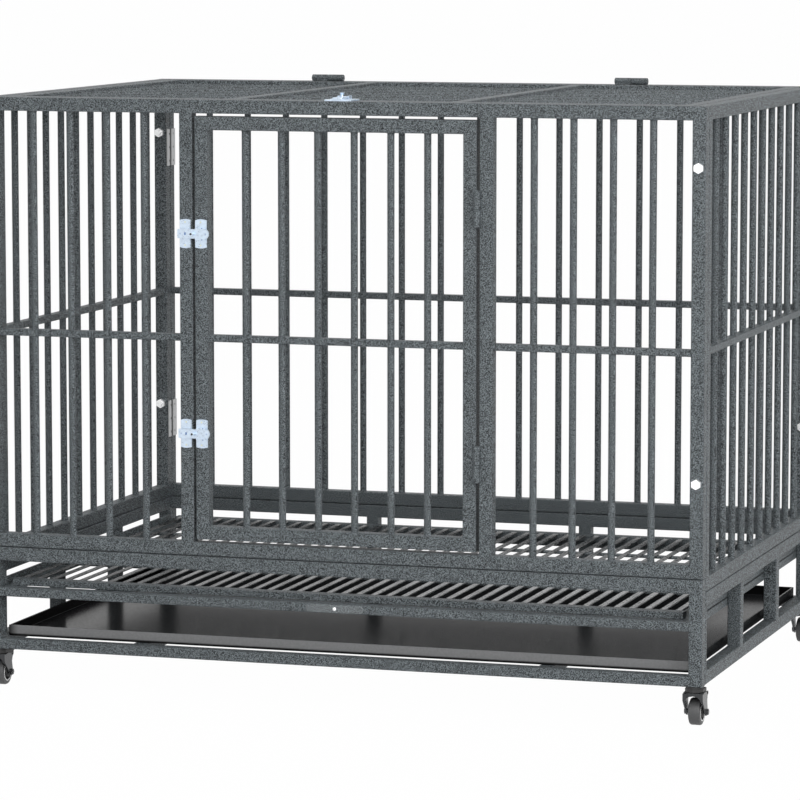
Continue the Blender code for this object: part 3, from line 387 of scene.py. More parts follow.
def new_material(name):
    """Empty node material with a shader and a point in the object's own space."""
    material = bpy.data.materials.new(name)
    material.use_nodes = True
    tree = material.node_tree
    shader = tree.nodes["Principled BSDF"]
    place = tree.nodes.new("ShaderNodeTexCoord").outputs["Object"]
    return material, tree, shader, place


def noise(tree, place, scale, detail, rough=0.5, stretch=None):
    """Noise value at a point; stretch gives a scale for each axis."""
    if stretch:
        turn = tree.nodes.new("ShaderNodeMapping")
        turn.inputs["Scale"].default_value = stretch
        tree.links.new(place, turn.inputs["Vector"])
        place = turn.outputs["Vector"]
    node = tree.nodes.new("ShaderNodeTexNoise")
    node.inputs["Scale"].default_value = scale
    node.inputs["Detail"].default_value = detail
    node.inputs["Roughness"].default_value = rough
    tree.links.new(place, node.inputs["Vector"])
    return node.outputs["Fac"]


def spread(tree, value, low, high, to_low, to_high):
    """Map a range of a value onto another range."""
    node = tree.nodes.new("ShaderNodeMapRange")
    ends = {"From Min": low, "From Max": high, "To Min": to_low, "To Max": to_high}
    for key, end in ends.items():
        node.inputs[key].default_value = end
    tree.links.new(value, node.inputs["Value"])
    return node.outputs["Result"]


def ramp(tree, value, stops):
    """Colour ramp; stops are (position, colour)."""
    node = tree.nodes.new("ShaderNodeValToRGB")
    band = node.color_ramp
    while len(band.elements) < len(stops):
        band.elements.new(0.5)
    for element, (spot, colour) in zip(band.elements, stops):
        element.position = spot
        element.color = (*colour, 1.0)
    tree.links.new(value, node.inputs["Fac"])
    return node.outputs["Color"]


def blend_colours(tree, share, first, second):
    """Mix two colours by a share."""
    node = tree.nodes.new("ShaderNodeMix")
    node.data_type = "RGBA"
    for socket, value in ((0, share), (6, first), (7, second)):
        tree.links.new(value, node.inputs[socket])
    return node.outputs[2]


def multiply_colours(tree, first, second):
    """One colour times another."""
    node = tree.nodes.new("ShaderNodeMix")
    node.data_type = "RGBA"
    node.blend_type = "MULTIPLY"
    node.inputs[0].default_value = 1.0
    tree.links.new(first, node.inputs[6])
    tree.links.new(second, node.inputs[7])
    return node.outputs[2]


def scale_colour(tree, colour, share):
    """A colour, a socket or plain, made darker or lighter by a value."""
    node = tree.nodes.new("ShaderNodeVectorMath")
    node.operation = "SCALE"
    if isinstance(colour, bpy.types.NodeSocket):
        tree.links.new(colour, node.inputs[0])
    else:
        node.inputs[0].default_value = colour
    tree.links.new(share, node.inputs["Scale"])
    return node.outputs["Vector"]


def combine(tree, operation, first, second):
    """Value worked out from two values."""
    node = tree.nodes.new("ShaderNodeMath")
    node.operation = operation
    tree.links.new(first, node.inputs[0])
    tree.links.new(second, node.inputs[1])
    return node.outputs["Value"]


def split_axes(tree, place):
    """A point's place along X, Y and Z."""
    node = tree.nodes.new("ShaderNodeSeparateXYZ")
    tree.links.new(place, node.inputs["Vector"])
    return node.outputs


def add_bump(tree, shader, height, distance, strength):
    node = tree.nodes.new("ShaderNodeBump")
    node.inputs["Distance"].default_value = distance
    node.inputs["Strength"].default_value = strength
    tree.links.new(height, node.inputs["Height"])
    tree.links.new(node.outputs["Normal"], shader.inputs["Normal"])


def graded(tree, value, colour, dark, light, reach=0.2):
    """Colour that goes from a darker to a lighter shade of itself round a value's middle."""
    shades = [tuple(min(1.0, c * k) for c in colour) for k in (dark, 1.0, light)]
    return ramp(tree, value, list(zip((0.5 - reach, 0.5, 0.5 + reach), shades)))


def set_rough(tree, shader, value, smooth, coarse):
    """Let the shader's roughness follow a value."""
    tree.links.new(spread(tree, value, 0.3, 0.7, smooth, coarse), shader.inputs["Roughness"])


def hammered_paint(name, colour):
    """Slate powder coat with fine light and dark flecks and a hammered skin."""
    material, tree, shader, place = new_material(name)
    pitch = 1.0 / finish().speckle
    fleck = noise(tree, place, scale=pitch, detail=1.0, rough=0.55, stretch=(1.0, 0.3, 1.0))
    patch = noise(tree, place, scale=26.0, detail=3.0, rough=0.55)
    grain = graded(tree, fleck, colour, dark=0.16, light=2.5, reach=0.1)
    shift = ramp(tree, patch, [(0.3, (0.90, 0.90, 0.90)), (0.7, (1.0, 1.0, 1.0))])
    tree.links.new(multiply_colours(tree, grain, shift), shader.inputs["Base Color"])
    set_rough(tree, shader, fleck, smooth=0.42, coarse=0.62)
    shader.inputs["Specular IOR Level"].default_value = 0.22
    add_bump(tree, shader, fleck, distance=0.0001, strength=0.35)
    return material


def frame_paint(name):
    return hammered_paint(f"{name}_paint", finish().paint)


def slat_paint(name, colour):
    """Smoother coat of the grate's slats, lighter than the frames' paint as painted reflection at the
    front right, and darkened away from there as painted shade.
    """
    material, tree, shader, place = new_material(name)
    fleck = noise(tree, place, scale=260.0, detail=2.0, stretch=(1.0, 0.25, 1.0))
    patch = noise(tree, place, scale=7.0, detail=2.0)
    axes = split_axes(tree, place)
    grain = graded(tree, fleck, colour, dark=0.80, light=1.18, reach=0.15)
    shift = ramp(tree, patch, [(0.35, (0.82, 0.82, 0.82)), (0.65, (1.0, 1.0, 1.0))])
    # painted reflection and painted shade: the slats keep their light colour only at the front right
    slat_light_share = combine(tree, "MULTIPLY", spread(tree, axes["Y"], *SLAT_LIGHT_Y, 1.0, SLAT_SHADE_SHARE),
                    spread(tree, axes["X"], *SLAT_LIGHT_X, SLAT_SHADE_SHARE, 1.0))
    coat = scale_colour(tree, multiply_colours(tree, grain, shift), slat_light_share)
    tree.links.new(coat, shader.inputs["Base Color"])
    set_rough(tree, shader, fleck, smooth=0.22, coarse=0.34)
    shader.inputs["Specular IOR Level"].default_value = 0.45
    add_bump(tree, shader, fleck, distance=0.0001, strength=0.25)
    return material


def zinc_plate(name, colour, rough=0.30):
    """Bright zinc with a faint cloudy spangle."""
    material, tree, shader, place = new_material(name)
    cloud = noise(tree, place, scale=240.0, detail=3.0, rough=0.6)
    fine = noise(tree, place, scale=1400.0, detail=1.0)
    tree.links.new(graded(tree, cloud, colour, dark=0.88, light=1.08), shader.inputs["Base Color"])
    set_rough(tree, shader, cloud, smooth=rough - 0.06, coarse=rough + 0.10)
    shader.inputs["Metallic"].default_value = 0.85
    add_bump(tree, shader, fine, distance=0.00005, strength=0.3)
    return material


def plated_steel(name, colour):
    """Bright plating over pressed steel, with faint draw marks."""
    material, tree, shader, place = new_material(name)
    marks = noise(tree, place, scale=500.0, detail=3.0, rough=0.6, stretch=(1.0, 1.0, 0.15))
    tree.links.new(graded(tree, marks, colour, dark=0.72, light=1.2), shader.inputs["Base Color"])
    set_rough(tree, shader, marks, smooth=0.15, coarse=0.32)
    shader.inputs["Metallic"].default_value = 1.0
    add_bump(tree, shader, marks, distance=0.00006, strength=0.3)
    return material


def tray_enamel(name, colour, front_colour):
    """Dark enamel with a faint ripple: floor painted lighter than the walls as painted light, paler
    on the front wall with painted shade on its lower bend and left corner, shiny on part of the
    floor.
    """
    material, tree, shader, place = new_material(name)
    ripple = noise(tree, place, scale=9.0, detail=2.0)
    dust = noise(tree, place, scale=300.0, detail=2.0)
    axes = split_axes(tree, place)

    # painted light on the floor against painted shade on the walls
    floor_painted_light = spread(tree, axes["Z"], *FLOOR_Z, FLOOR_PAINTED_LIGHT, 1.0)
    dark_coat = scale_colour(tree, graded(tree, ripple, colour, dark=0.8, light=1.35), floor_painted_light)

    # painted shade on the front wall's lower bend and at its left corner; the dust is the wall's own
    above_bend = spread(tree, axes["Z"], *FRONT_COAT_Z, BEND_PAINTED_SHADE, 1.0)
    from_corner = spread(tree, axes["X"], *FRONT_COAT_X, CORNER_PAINTED_SHADE, 1.0)
    dust_and_bend_shade = combine(tree, "MULTIPLY", above_bend, spread(tree, dust, 0.3, 0.7, *DUST))
    pale_coat = scale_colour(tree, tuple(front_colour),
                             combine(tree, "MULTIPLY", dust_and_bend_shade, from_corner))
    on_front = spread(tree, axes["Y"], *FRONT_COAT_Y, 1.0, 0.0)
    tree.links.new(blend_colours(tree, on_front, dark_coat, pale_coat),
                   shader.inputs["Base Color"])

    set_rough(tree, shader, dust, smooth=0.16, coarse=0.24)
    shine = combine(tree, "MAXIMUM", spread(tree, axes["Y"], *SHINE_Y, TRAY_SHINE, 0.0),
                    spread(tree, axes["X"], *SHINE_X, 0.0, TRAY_SHINE))
    tree.links.new(shine, shader.inputs["Specular IOR Level"])
    add_bump(tree, shader, ripple, distance=0.002, strength=0.06)
    return material


def moulded(name, colour):
    """Moulded rubber or plastic with a fine matt skin."""
    material, tree, shader, place = new_material(name)
    skin = noise(tree, place, scale=900.0, detail=2.0)
    tree.links.new(graded(tree, skin, colour, dark=0.8, light=1.25), shader.inputs["Base Color"])
    set_rough(tree, shader, skin, smooth=0.42, coarse=0.62)
    add_bump(tree, shader, skin, distance=0.00008, strength=0.35)
    return material


# Mesh code

def even(low, high, count, width=0.0):
    """Centres of a number of bars that split an opening into equal gaps."""
    gap = (high - low - count * width) / (count + 1)
    return [low + (gap + width) * (i + 1) - width / 2 for i in range(count)]


def windows(limit, posts, rows):
    """Openings (x0, y0, x1, y1) left by posts of tube, in rows from one height to another."""
    cuts = [-limit] + [x + s * TUBE / 2 for x in posts for s in (-1, 1)] + [limit]
    return [(a, y0, b, y1) for y0, y1 in rows for a, b in zip(cuts[0::2], cuts[1::2])]


def add_tube_frame(shape, outer, openings, depth, edge):
    """Frame of square tube in XY with rounded edges; openings are (x0, y0, x1, y1)."""
    cuts = [outer] + openings
    xs = sorted({round(v, 6) for r in cuts for v in (r[0], r[2])})
    ys = sorted({round(v, 6) for r in cuts for v in (r[1], r[3])})
    points = {}

    def corner(x, y):
        if (x, y) not in points:
            points[x, y] = shape.verts.new((x, y, -depth / 2))
        return points[x, y]

    cells = []
    for x0, x1 in zip(xs, xs[1:]):
        for y0, y1 in zip(ys, ys[1:]):
            mid_x, mid_y = (x0 + x1) / 2, (y0 + y1) / 2
            if any(r[0] < mid_x < r[2] and r[1] < mid_y < r[3] for r in openings):
                continue
            ring = [corner(x0, y0), corner(x1, y0), corner(x1, y1), corner(x0, y1)]
            cells.append(shape.faces.new(ring))
    raised = bmesh.ops.extrude_face_region(shape, geom=cells)
    moved = [v for v in raised["geom"] if isinstance(v, bmesh.types.BMVert)]
    bmesh.ops.translate(shape, verts=moved, vec=(0, 0, depth))
    made = {f for v in list(points.values()) + moved for f in v.link_faces}
    bmesh.ops.recalc_face_normals(shape, faces=list(made))
    edges = {e for f in made for e in f.edges}
    picked = []
    for e in edges:
        if len(e.link_faces) != 2 or e.calc_face_angle() < SHARP:
            continue
        if abs((e.verts[0].co - e.verts[1].co).z) < LEVEL:
            picked.append(e)
    bmesh.ops.bevel(shape, geom=picked, offset=edge, segments=3, affect="EDGES", profile=0.5)


def add_block(shape, low, high, edge=0.0, along=None, segments=3):
    """Box between two corners; edges along one axis, or all, are rounded."""
    made = bmesh.ops.create_cube(shape, size=1.0)["verts"]
    for vert in made:
        vert.co = Vector([(a + b) / 2 + (b - a) * c for a, b, c in zip(low, high, vert.co)])
    if edge:
        edges = {e for v in made for e in v.link_edges}
        picked = []
        for e in edges:
            run = (e.verts[0].co - e.verts[1].co).normalized()
            if along is None or abs(run[along]) > 0.9:
                picked.append(e)
        bmesh.ops.bevel(shape, geom=picked, offset=edge, segments=segments,
                        affect="EDGES", profile=0.5)


def add_lathe(shape, profile, centre, axis, steps, closed=True):
    """Turned shape; profile points are (along the axis, radius)."""
    axis = Vector(axis).normalized()
    turn = Vector((0, 0, 1)).rotation_difference(axis).to_matrix()
    rings = []
    for along, radius in profile:
        if radius < ON_AXIS:
            rings.append([shape.verts.new(Vector(centre) + axis * along)])
            continue
        ring = []
        for i in range(steps):
            a = 2 * math.pi * i / steps
            flat = turn @ Vector((radius * math.cos(a), radius * math.sin(a), 0))
            ring.append(shape.verts.new(Vector(centre) + axis * along + flat))
        rings.append(ring)
    pairs = list(zip(rings, rings[1:]))
    if closed:
        pairs.append((rings[-1], rings[0]))
    for first, second in pairs:
        for i in range(steps):
            j = (i + 1) % steps
            if len(first) == 1 and len(second) == 1:
                continue
            if len(first) == 1:
                shape.faces.new((first[0], second[j], second[i]))
            elif len(second) == 1:
                shape.faces.new((first[i], first[j], second[0]))
            else:
                shape.faces.new((first[i], first[j], second[j], second[i]))


def add_bar(shape, start, end, radius, sides):
    """Round bar with flat ends."""
    run = Vector(end) - Vector(start)
    add_lathe(shape, [(0, 0), (0, radius), (run.length, radius), (run.length, 0)],
              start, run, sides, closed=False)


def add_weld(shape, spot, axis, radius, reach, sides):
    """Fillet of weld round a bar, its foot on a tube's face."""
    foot = [(-WELD_SINK, radius - WELD_BITE), (-WELD_SINK, radius + reach),
            (WELD_LIP, radius + reach)]
    curve = [(reach * up, radius + reach * out) for up, out in WELD_CURVE]
    add_lathe(shape, foot + curve + [(reach * WELD_TOP, radius - WELD_BITE)], spot, axis, sides)


def dress(name, fill, material, body, nodes=(), turn=None, split=38):
    """Make a piece from a fill function, let it ride and stand for its nodes."""
    shape = bmesh.new()
    fill(shape)
    if turn is not None:
        bmesh.ops.transform(shape, matrix=turn, verts=shape.verts)
    bmesh.ops.recalc_face_normals(shape, faces=shape.faces)
    limit = math.radians(split)
    for face in shape.faces:
        face.smooth = True
    for edge in shape.edges:
        if len(edge.link_faces) == 2 and edge.calc_face_angle() > limit:
            edge.smooth = False
    mesh = bpy.data.meshes.new(name)
    shape.to_mesh(mesh)
    shape.free()
    mesh.materials.append(material)
    obj = bpy.data.objects.new(name, mesh)
    bpy.context.scene.collection.objects.link(obj)
    even_shade = obj.modifiers.new("Flat faces stay flat", "WEIGHTED_NORMAL")
    even_shade.keep_sharp = True
    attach(obj, body)
    if nodes:
        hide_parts(*nodes)
    return obj


def keep(node, material, edge):
    """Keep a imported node's own mesh, with another finish and rounded edges."""
    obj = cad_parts[node]
    obj.data.materials.clear()
    obj.data.materials.append(material)
    rounded = obj.modifiers.new("Rounded edges", "BEVEL")
    rounded.width = edge
    rounded.segments = 2
    rounded.limit_method = "ANGLE"
    rounded.angle_limit = math.radians(40)


def barred(panel, body, outer, openings, bars, rails, turn, bar_z=0.0):
    """Tubes of a panel, and its bars with their rail, as two pieces for one node."""
    size = sizes()
    paint = frame_paint(panel)
    half_rail = size.rail_h / 2

    def tubes(shape):
        add_tube_frame(shape, outer, openings, TUBE, size.tube_edge)

    def grille(shape):
        for x0, x1, y in rails:
            add_block(shape, (x0 - BITE, y - half_rail, -size.rail_t / 2),
                      (x1 + BITE, y + half_rail, size.rail_t / 2), RAIL_EDGE, 0, 2)
        for start, end, stops in bars:
            a, b = Vector((*start, bar_z)), Vector((*end, bar_z))
            run = (b - a).normalized()
            add_bar(shape, a - run * BITE, b + run * BITE, size.bar_d / 2, size.bar_sides)
            welds = [(a, run, 1.0), (b, -run, 1.0)]
            for stop in stops:
                mid = a + run * stop
                welds.append((mid + run * half_rail, run, RAIL_WELD))
                welds.append((mid - run * half_rail, -run, RAIL_WELD))
            for spot, way, share in welds:
                add_weld(shape, spot, way, size.bar_d / 2, size.weld * share, size.bar_sides)

    dress(f"{panel}_tubes", tubes, paint, body, [panel], turn)
    dress(f"{panel}_bars", grille, paint, body, [panel], turn)


class CRATE_OT_front_panel(Operator):
    """Front panel: corner posts, door posts, rails and the bars beside the doorway"""

    bl_idname = "crate.front_panel"
    bl_label = "Front Panel"

    def execute(self, context):
        low, high = TUBE, CAGE_H - TUBE
        inner = HALF - TUBE
        door = DOOR_OPEN_HALF
        openings = [
            (-inner, low, -door - TUBE, high),
            (-door, low, door, high),
            (door + TUBE, low, inner, high)]
        sides = [(-inner, -door - TUBE), (door + TUBE, inner)]
        bars = [
            ((x, low), (x, high), [CAGE_RAIL_Z - low])
            for x0, x1 in sides for x in even(x0, x1, SIDE_BARS)]
        rails = [(x0, x1, CAGE_RAIL_Z) for x0, x1 in sides]
        turn = Matrix.Translation((0, FRONT + TUBE / 2, CAGE_Z)) @ UPRIGHT
        barred("front_panel", "crate", (-HALF, 0, HALF, CAGE_H), openings, bars, rails, turn)
        return {"FINISHED"}


class CRATE_OT_back_panel(Operator):
    """Back panel: corner posts, rails and fifteen bars"""

    bl_idname = "crate.back_panel"
    bl_label = "Back Panel"

    def execute(self, context):
        low, high = TUBE, SIDE_H - TUBE
        inner = HALF - TUBE
        rail = CAGE_RAIL_Z + SIDE_DROP
        bars = [((x, low), (x, high), [rail - low]) for x in even(-inner, inner, BACK_BARS)]
        turn = Matrix.Translation((0, BACK - TUBE / 2, SIDE_Z)) @ UPRIGHT
        barred("back_panel", "crate", (-HALF, 0, HALF, SIDE_H),
               [(-inner, low, inner, high)], bars, [(-inner, inner, rail)], turn)
        return {"FINISHED"}


class CRATE_OT_side_panels(Operator):
    """Left and right panels: stiles, rails and ten bars each"""

    bl_idname = "crate.side_panels"
    bl_label = "Side Panels"

    def execute(self, context):
        low, high = TUBE, SIDE_H - TUBE
        half = (SIDE_HIGH.y - SIDE_LOW.y) / 2
        middle = (SIDE_HIGH.y + SIDE_LOW.y) / 2
        inner = half - TUBE
        rail = CAGE_RAIL_Z + SIDE_DROP
        bars = [
            ((x, low), (x, high), [rail - low]) for x in even(-inner, inner, SIDE_PANEL_BARS)]
        for word, side in (("left", -1), ("right", 1)):
            turn = Matrix.Translation((side * (HALF - TUBE / 2), middle, SIDE_Z)) @ SIDEWAYS
            barred(f"{word}_panel", "crate", (-half, 0, half, SIDE_H),
                   [(-inner, low, inner, high)], bars, [(-inner, inner, rail)], turn)
        return {"FINISHED"}


class CRATE_OT_front_door(Operator):
    """Front door: its four tubes, rail and six bars"""

    bl_idname = "crate.front_door"
    bl_label = "Front Door"

    def execute(self, context):
        width = DOOR_HIGH.x - DOOR_LOW.x
        height = DOOR_HIGH.z - DOOR_LOW.z
        low, high = TUBE, height - TUBE
        rail = CAGE_Z + CAGE_RAIL_Z - DOOR_LOW.z
        bars = [
            ((x, low), (x, high), [rail - low]) for x in even(TUBE, width - TUBE, DOOR_BARS)]
        turn = Matrix.Translation((DOOR_LOW.x, FRONT + TUBE / 2, DOOR_LOW.z)) @ UPRIGHT
        barred("front_door", "front_door", (0, 0, width, height),
               [(TUBE, low, width - TUBE, high)], bars, [(TUBE, width - TUBE, rail)], turn)
        return {"FINISHED"}


class CRATE_OT_roof_door(Operator):
    """Roof door: rim, two ribs and three fields of bars"""

    bl_idname = "crate.roof_door"
    bl_label = "Roof Door"

    def execute(self, context):
        half_x = ROOF_HIGH.x
        half_y = (ROOF_HIGH.y - ROOF_LOW.y) / 2
        middle = (ROOF_HIGH.y + ROOF_LOW.y) / 2
        in_x, in_y = half_x - TUBE, half_y - TUBE
        rib = ROOF_RIB_W / 2
        cuts = [-in_x, -ROOF_RIB_X - rib, -ROOF_RIB_X + rib]
        cuts += [ROOF_RIB_X - rib, ROOF_RIB_X + rib, in_x]
        fields = list(zip(cuts[0::2], cuts[1::2]))
        bars = [
            ((x0, y), (x1, y), []) for y in even(-in_y, in_y, ROOF_BARS) for x0, x1 in fields]
        turn = Matrix.Translation((0, middle, ROOF_HIGH.z - TUBE / 2))
        barred("roof_door", "roof_door", (-half_x, -half_y, half_x, half_y),
               [(x0, -in_y, x1, in_y) for x0, x1 in fields], bars, [], turn,
               bar_z=TUBE / 2 - ROOF_BAR_DROP)
        return {"FINISHED"}


class CRATE_OT_base(Operator):
    """Base: front, back and side frames, the ledges under the grate and the tray runners"""

    bl_idname = "crate.base"
    bl_label = "Base"

    def execute(self, context):
        inner = HALF - TUBE
        shelf = MID_RAIL_Z + MID_RAIL_H
        ends = (
            ("front", FRONT + TUBE / 2, BASE_H, BASE_H - TOP_RAIL_H, []),
            ("back", BACK - TUBE / 2, SIDE_BASE_H, SIDE_BASE_H - TUBE,
             even(-inner, inner, UPRIGHT_COUNT, TUBE)))
        for word, y, height, top, posts in ends:
            openings = windows(inner, posts, ((LOW_RAIL_H, MID_RAIL_Z), (shelf, top)))
            self.frame(f"base_{word}_frame", (-HALF, 0, HALF, height), openings,
                       Matrix.Translation((0, y, BASE_Z)) @ UPRIGHT)

        half = (SIDE_HIGH.y - SIDE_LOW.y) / 2
        middle = (SIDE_HIGH.y + SIDE_LOW.y) / 2
        reach = (BACK - FRONT) / 2 - TUBE
        posts = even(-reach, reach, UPRIGHT_COUNT, TUBE)
        openings = windows(half - TUBE / 2, posts, ((SIDE_RAIL_H, SIDE_BASE_H - TUBE),))
        for word, side in (("left", -1), ("right", 1)):
            name = f"base_{word}_frame"
            paint = self.frame(
                name, (-half, 0, half, SIDE_BASE_H), openings,
                Matrix.Translation((side * (HALF - TUBE / 2), middle, BASE_Z)) @ SIDEWAYS)
            dress(f"grate_ledge_{word}", lambda shape: self.ledge(
                shape, side * inner, side, middle - half, middle + half, BASE_Z + shelf),
                paint, "crate", [name])
            runner = f"tray_runner_{word}"
            dress(f"{runner}_tube", lambda shape: add_block(
                shape, *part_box(runner), sizes().tube_edge, 1),
                paint, "crate", [runner])
        return {"FINISHED"}

    def frame(self, name, outer, openings, turn):
        """One frame of the base; its paint is handed back."""
        paint = frame_paint(name)
        dress(f"{name}_tubes", lambda shape: add_tube_frame(
            shape, outer, openings, TUBE, sizes().tube_edge),
            paint, "crate", [name], turn)
        return paint

    def ledge(self, shape, face, side, y0, y1, top):
        """Angle that carries the grate, on the inner face of a side frame."""
        wall = sorted((face, face - side * LEDGE_WALL))
        flange = sorted((face, face - side * LEDGE_W))
        foot = BASE_Z + MID_RAIL_Z
        add_block(shape, (wall[0], y0, foot), (wall[1], y1, foot + LEDGE_H), LEDGE_EDGE, None, 2)
        add_block(shape, (flange[0], y0, top - LEDGE_WALL), (flange[1], y1, top),
                  LEDGE_EDGE, None, 2)


class CRATE_OT_grate(Operator):
    """Floor grate: slats from front to back, two borders and the cross bars under them"""

    bl_idname = "crate.grate"
    bl_label = "Floor Grate"

    def execute(self, context):
        paint = frame_paint("grate_border")
        coat = slat_paint("grate_slat_coat", finish().grate)
        low, high = GRATE_LOW, GRATE_HIGH
        inner = (low.y + GRATE_BORDER, high.y - GRATE_BORDER)
        count = int((high.x - SLAT_W / 2) / SLAT_PITCH)
        under = high.z - SLAT_T

        def borders(shape):
            for y0, y1 in ((low.y, inner[0]), (inner[1], high.y)):
                add_block(shape, (low.x, y0, low.z - BORDER_DROP), (high.x, y1, high.z),
                          BORDER_EDGE, 0)
            end = count * SLAT_PITCH
            for y in even(*inner, CROSS_BARS):
                add_block(shape, (-end, y - CROSS_W / 2, under - CROSS_T),
                          (end, y + CROSS_W / 2, under), CROSS_EDGE, 0)

        def slats(shape):
            for k in range(-count, count + 1):
                x = k * SLAT_PITCH
                add_block(shape, (x - SLAT_W / 2, inner[0] - SLAT_BITE, under),
                          (x + SLAT_W / 2, inner[1] + SLAT_BITE, high.z), sizes().slat_edge, 1)

        dress("grate_borders", borders, paint, "floor_grate", ["floor_grate"])
        dress("grate_slats", slats, coat, "floor_grate", ["floor_grate"])
        return {"FINISHED"}


class CRATE_OT_tray(Operator):
    """Tray: sheet pan with bent lower edges and a hem round its top"""

    bl_idname = "crate.tray"
    bl_label = "Tray"

    def execute(self, context):
        look = finish()
        dress("tray_pan", self.pan, tray_enamel("tray_enamel", look.tray, look.tray_front),
              "tray", ["tray"], split=25)
        return {"FINISHED"}

    def pan(self, shape):
        """Closed skin of the pan, from its underside up, over the hem and down to its floor."""
        low, high = TRAY_LOW, TRAY_HIGH
        outer = self.bend(0.0, low.z) + [(0.0, high.z)]
        hem = TRAY_WALL * 2
        rim = [(TRAY_WALL, high.z - TRAY_HEM), (hem, high.z - TRAY_HEM),
               (hem, high.z - HEM_EDGE), (hem - HEM_EDGE, high.z)]
        inner = self.bend(TRAY_WALL, low.z + TRAY_WALL) + rim
        rings = []
        for inset, z in outer + inner[::-1]:
            x0, x1, y0, y1 = low.x + inset, high.x - inset, low.y + inset, high.y - inset
            corners = ((x0, y0), (x1, y0), (x1, y1), (x0, y1))
            rings.append([shape.verts.new((x, y, z)) for x, y in corners])
        for first, second in zip(rings, rings[1:]):
            for i in range(4):
                j = (i + 1) % 4
                shape.faces.new((first[i], first[j], second[j], second[i]))
        shape.faces.new(rings[0])
        shape.faces.new(rings[-1])

    def bend(self, inset, floor):
        """Quarter round from a floor up to a wall, as (inset, height) points."""
        radius = TRAY_BEND - inset
        turns = [i / BEND_STEPS * math.pi / 2 for i in range(BEND_STEPS + 1)]
        return [(inset + radius * (1 - math.sin(a)), floor + radius * (1 - math.cos(a)))
                for a in turns]


class CRATE_OT_hinges(Operator):
    """Barrel hinges: two turned knuckles and the lugs welded to the frames"""

    bl_idname = "crate.hinges"
    bl_label = "Hinges"

    def execute(self, context):
        radius = BARREL_D / 2
        hinges = (
            ("door_hinge_upper", "front_door", (0, 0, 1)),
            ("door_hinge_lower", "front_door", (0, 0, 1)),
            ("roof_hinge_left", "roof_door", (-1, 0, 0)),
            ("roof_hinge_right", "roof_door", (-1, 0, 0)))
        for label, door, axis in hinges:
            axis = Vector(axis)
            low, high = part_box(f"{label}_bored_knuckle")
            centre = ((low + high) / 2).dot(axis)
            span = abs((high - low).dot(axis))
            middle = centre - span / 2 - JOIN / 2
            length = centre + span / 2 - middle
            if door == "front_door":
                line = Vector((DOOR_HIGH.x + HINGE_GAP / 2, FRONT - JOIN - radius, 0))
                inward, across = Vector((0, 1, 0)), Vector((-1, 0, 0))
            else:
                line = Vector((0, BACK - TUBE - HINGE_GAP / 2, CAGE_TOP + JOIN + radius))
                inward, across = Vector((0, 0, -1)), Vector((0, -1, 0))
            for word, sign, body in (("pin", -1, "crate"), ("bored", 1, door)):
                node = f"{label}_{word}_knuckle"
                start = line - axis * line.dot(axis) + axis * (middle + sign * JOIN / 2)
                run = axis * sign

                def knuckle(shape):
                    root, tip = BARREL_EDGES
                    add_lathe(shape, [
                        (0, 0), (0, radius - root), (root, radius),
                        (length - tip, radius), (length, radius - tip), (length, 0)],
                        start, run, BARREL_SIDES, closed=False)
                    spot = (start + run * (length * 0.5) + inward * (radius * LUG_REACH)
                            + across * (sign * (LUG_W * 0.5)))
                    half = [abs(v) for v in (axis * (length * LUG_SHARE)
                                             + across * (LUG_W * 0.5) + inward * LUG_HALF_T)]
                    add_block(shape, [c - h for c, h in zip(spot, half)],
                              [c + h for c, h in zip(spot, half)], LUG_EDGE, None, 2)

                dress(f"{node}_turned", knuckle, frame_paint(node), body, [node])
        return {"FINISHED"}


def small_disc(shape, spot, radius, thickness):
    """Flat disc that stands on z at a spot."""
    add_lathe(shape, [(0, 0), (0, radius), (thickness, radius), (thickness, 0)],
              spot, (0, 0, 1), DISC_SIDES, closed=False)


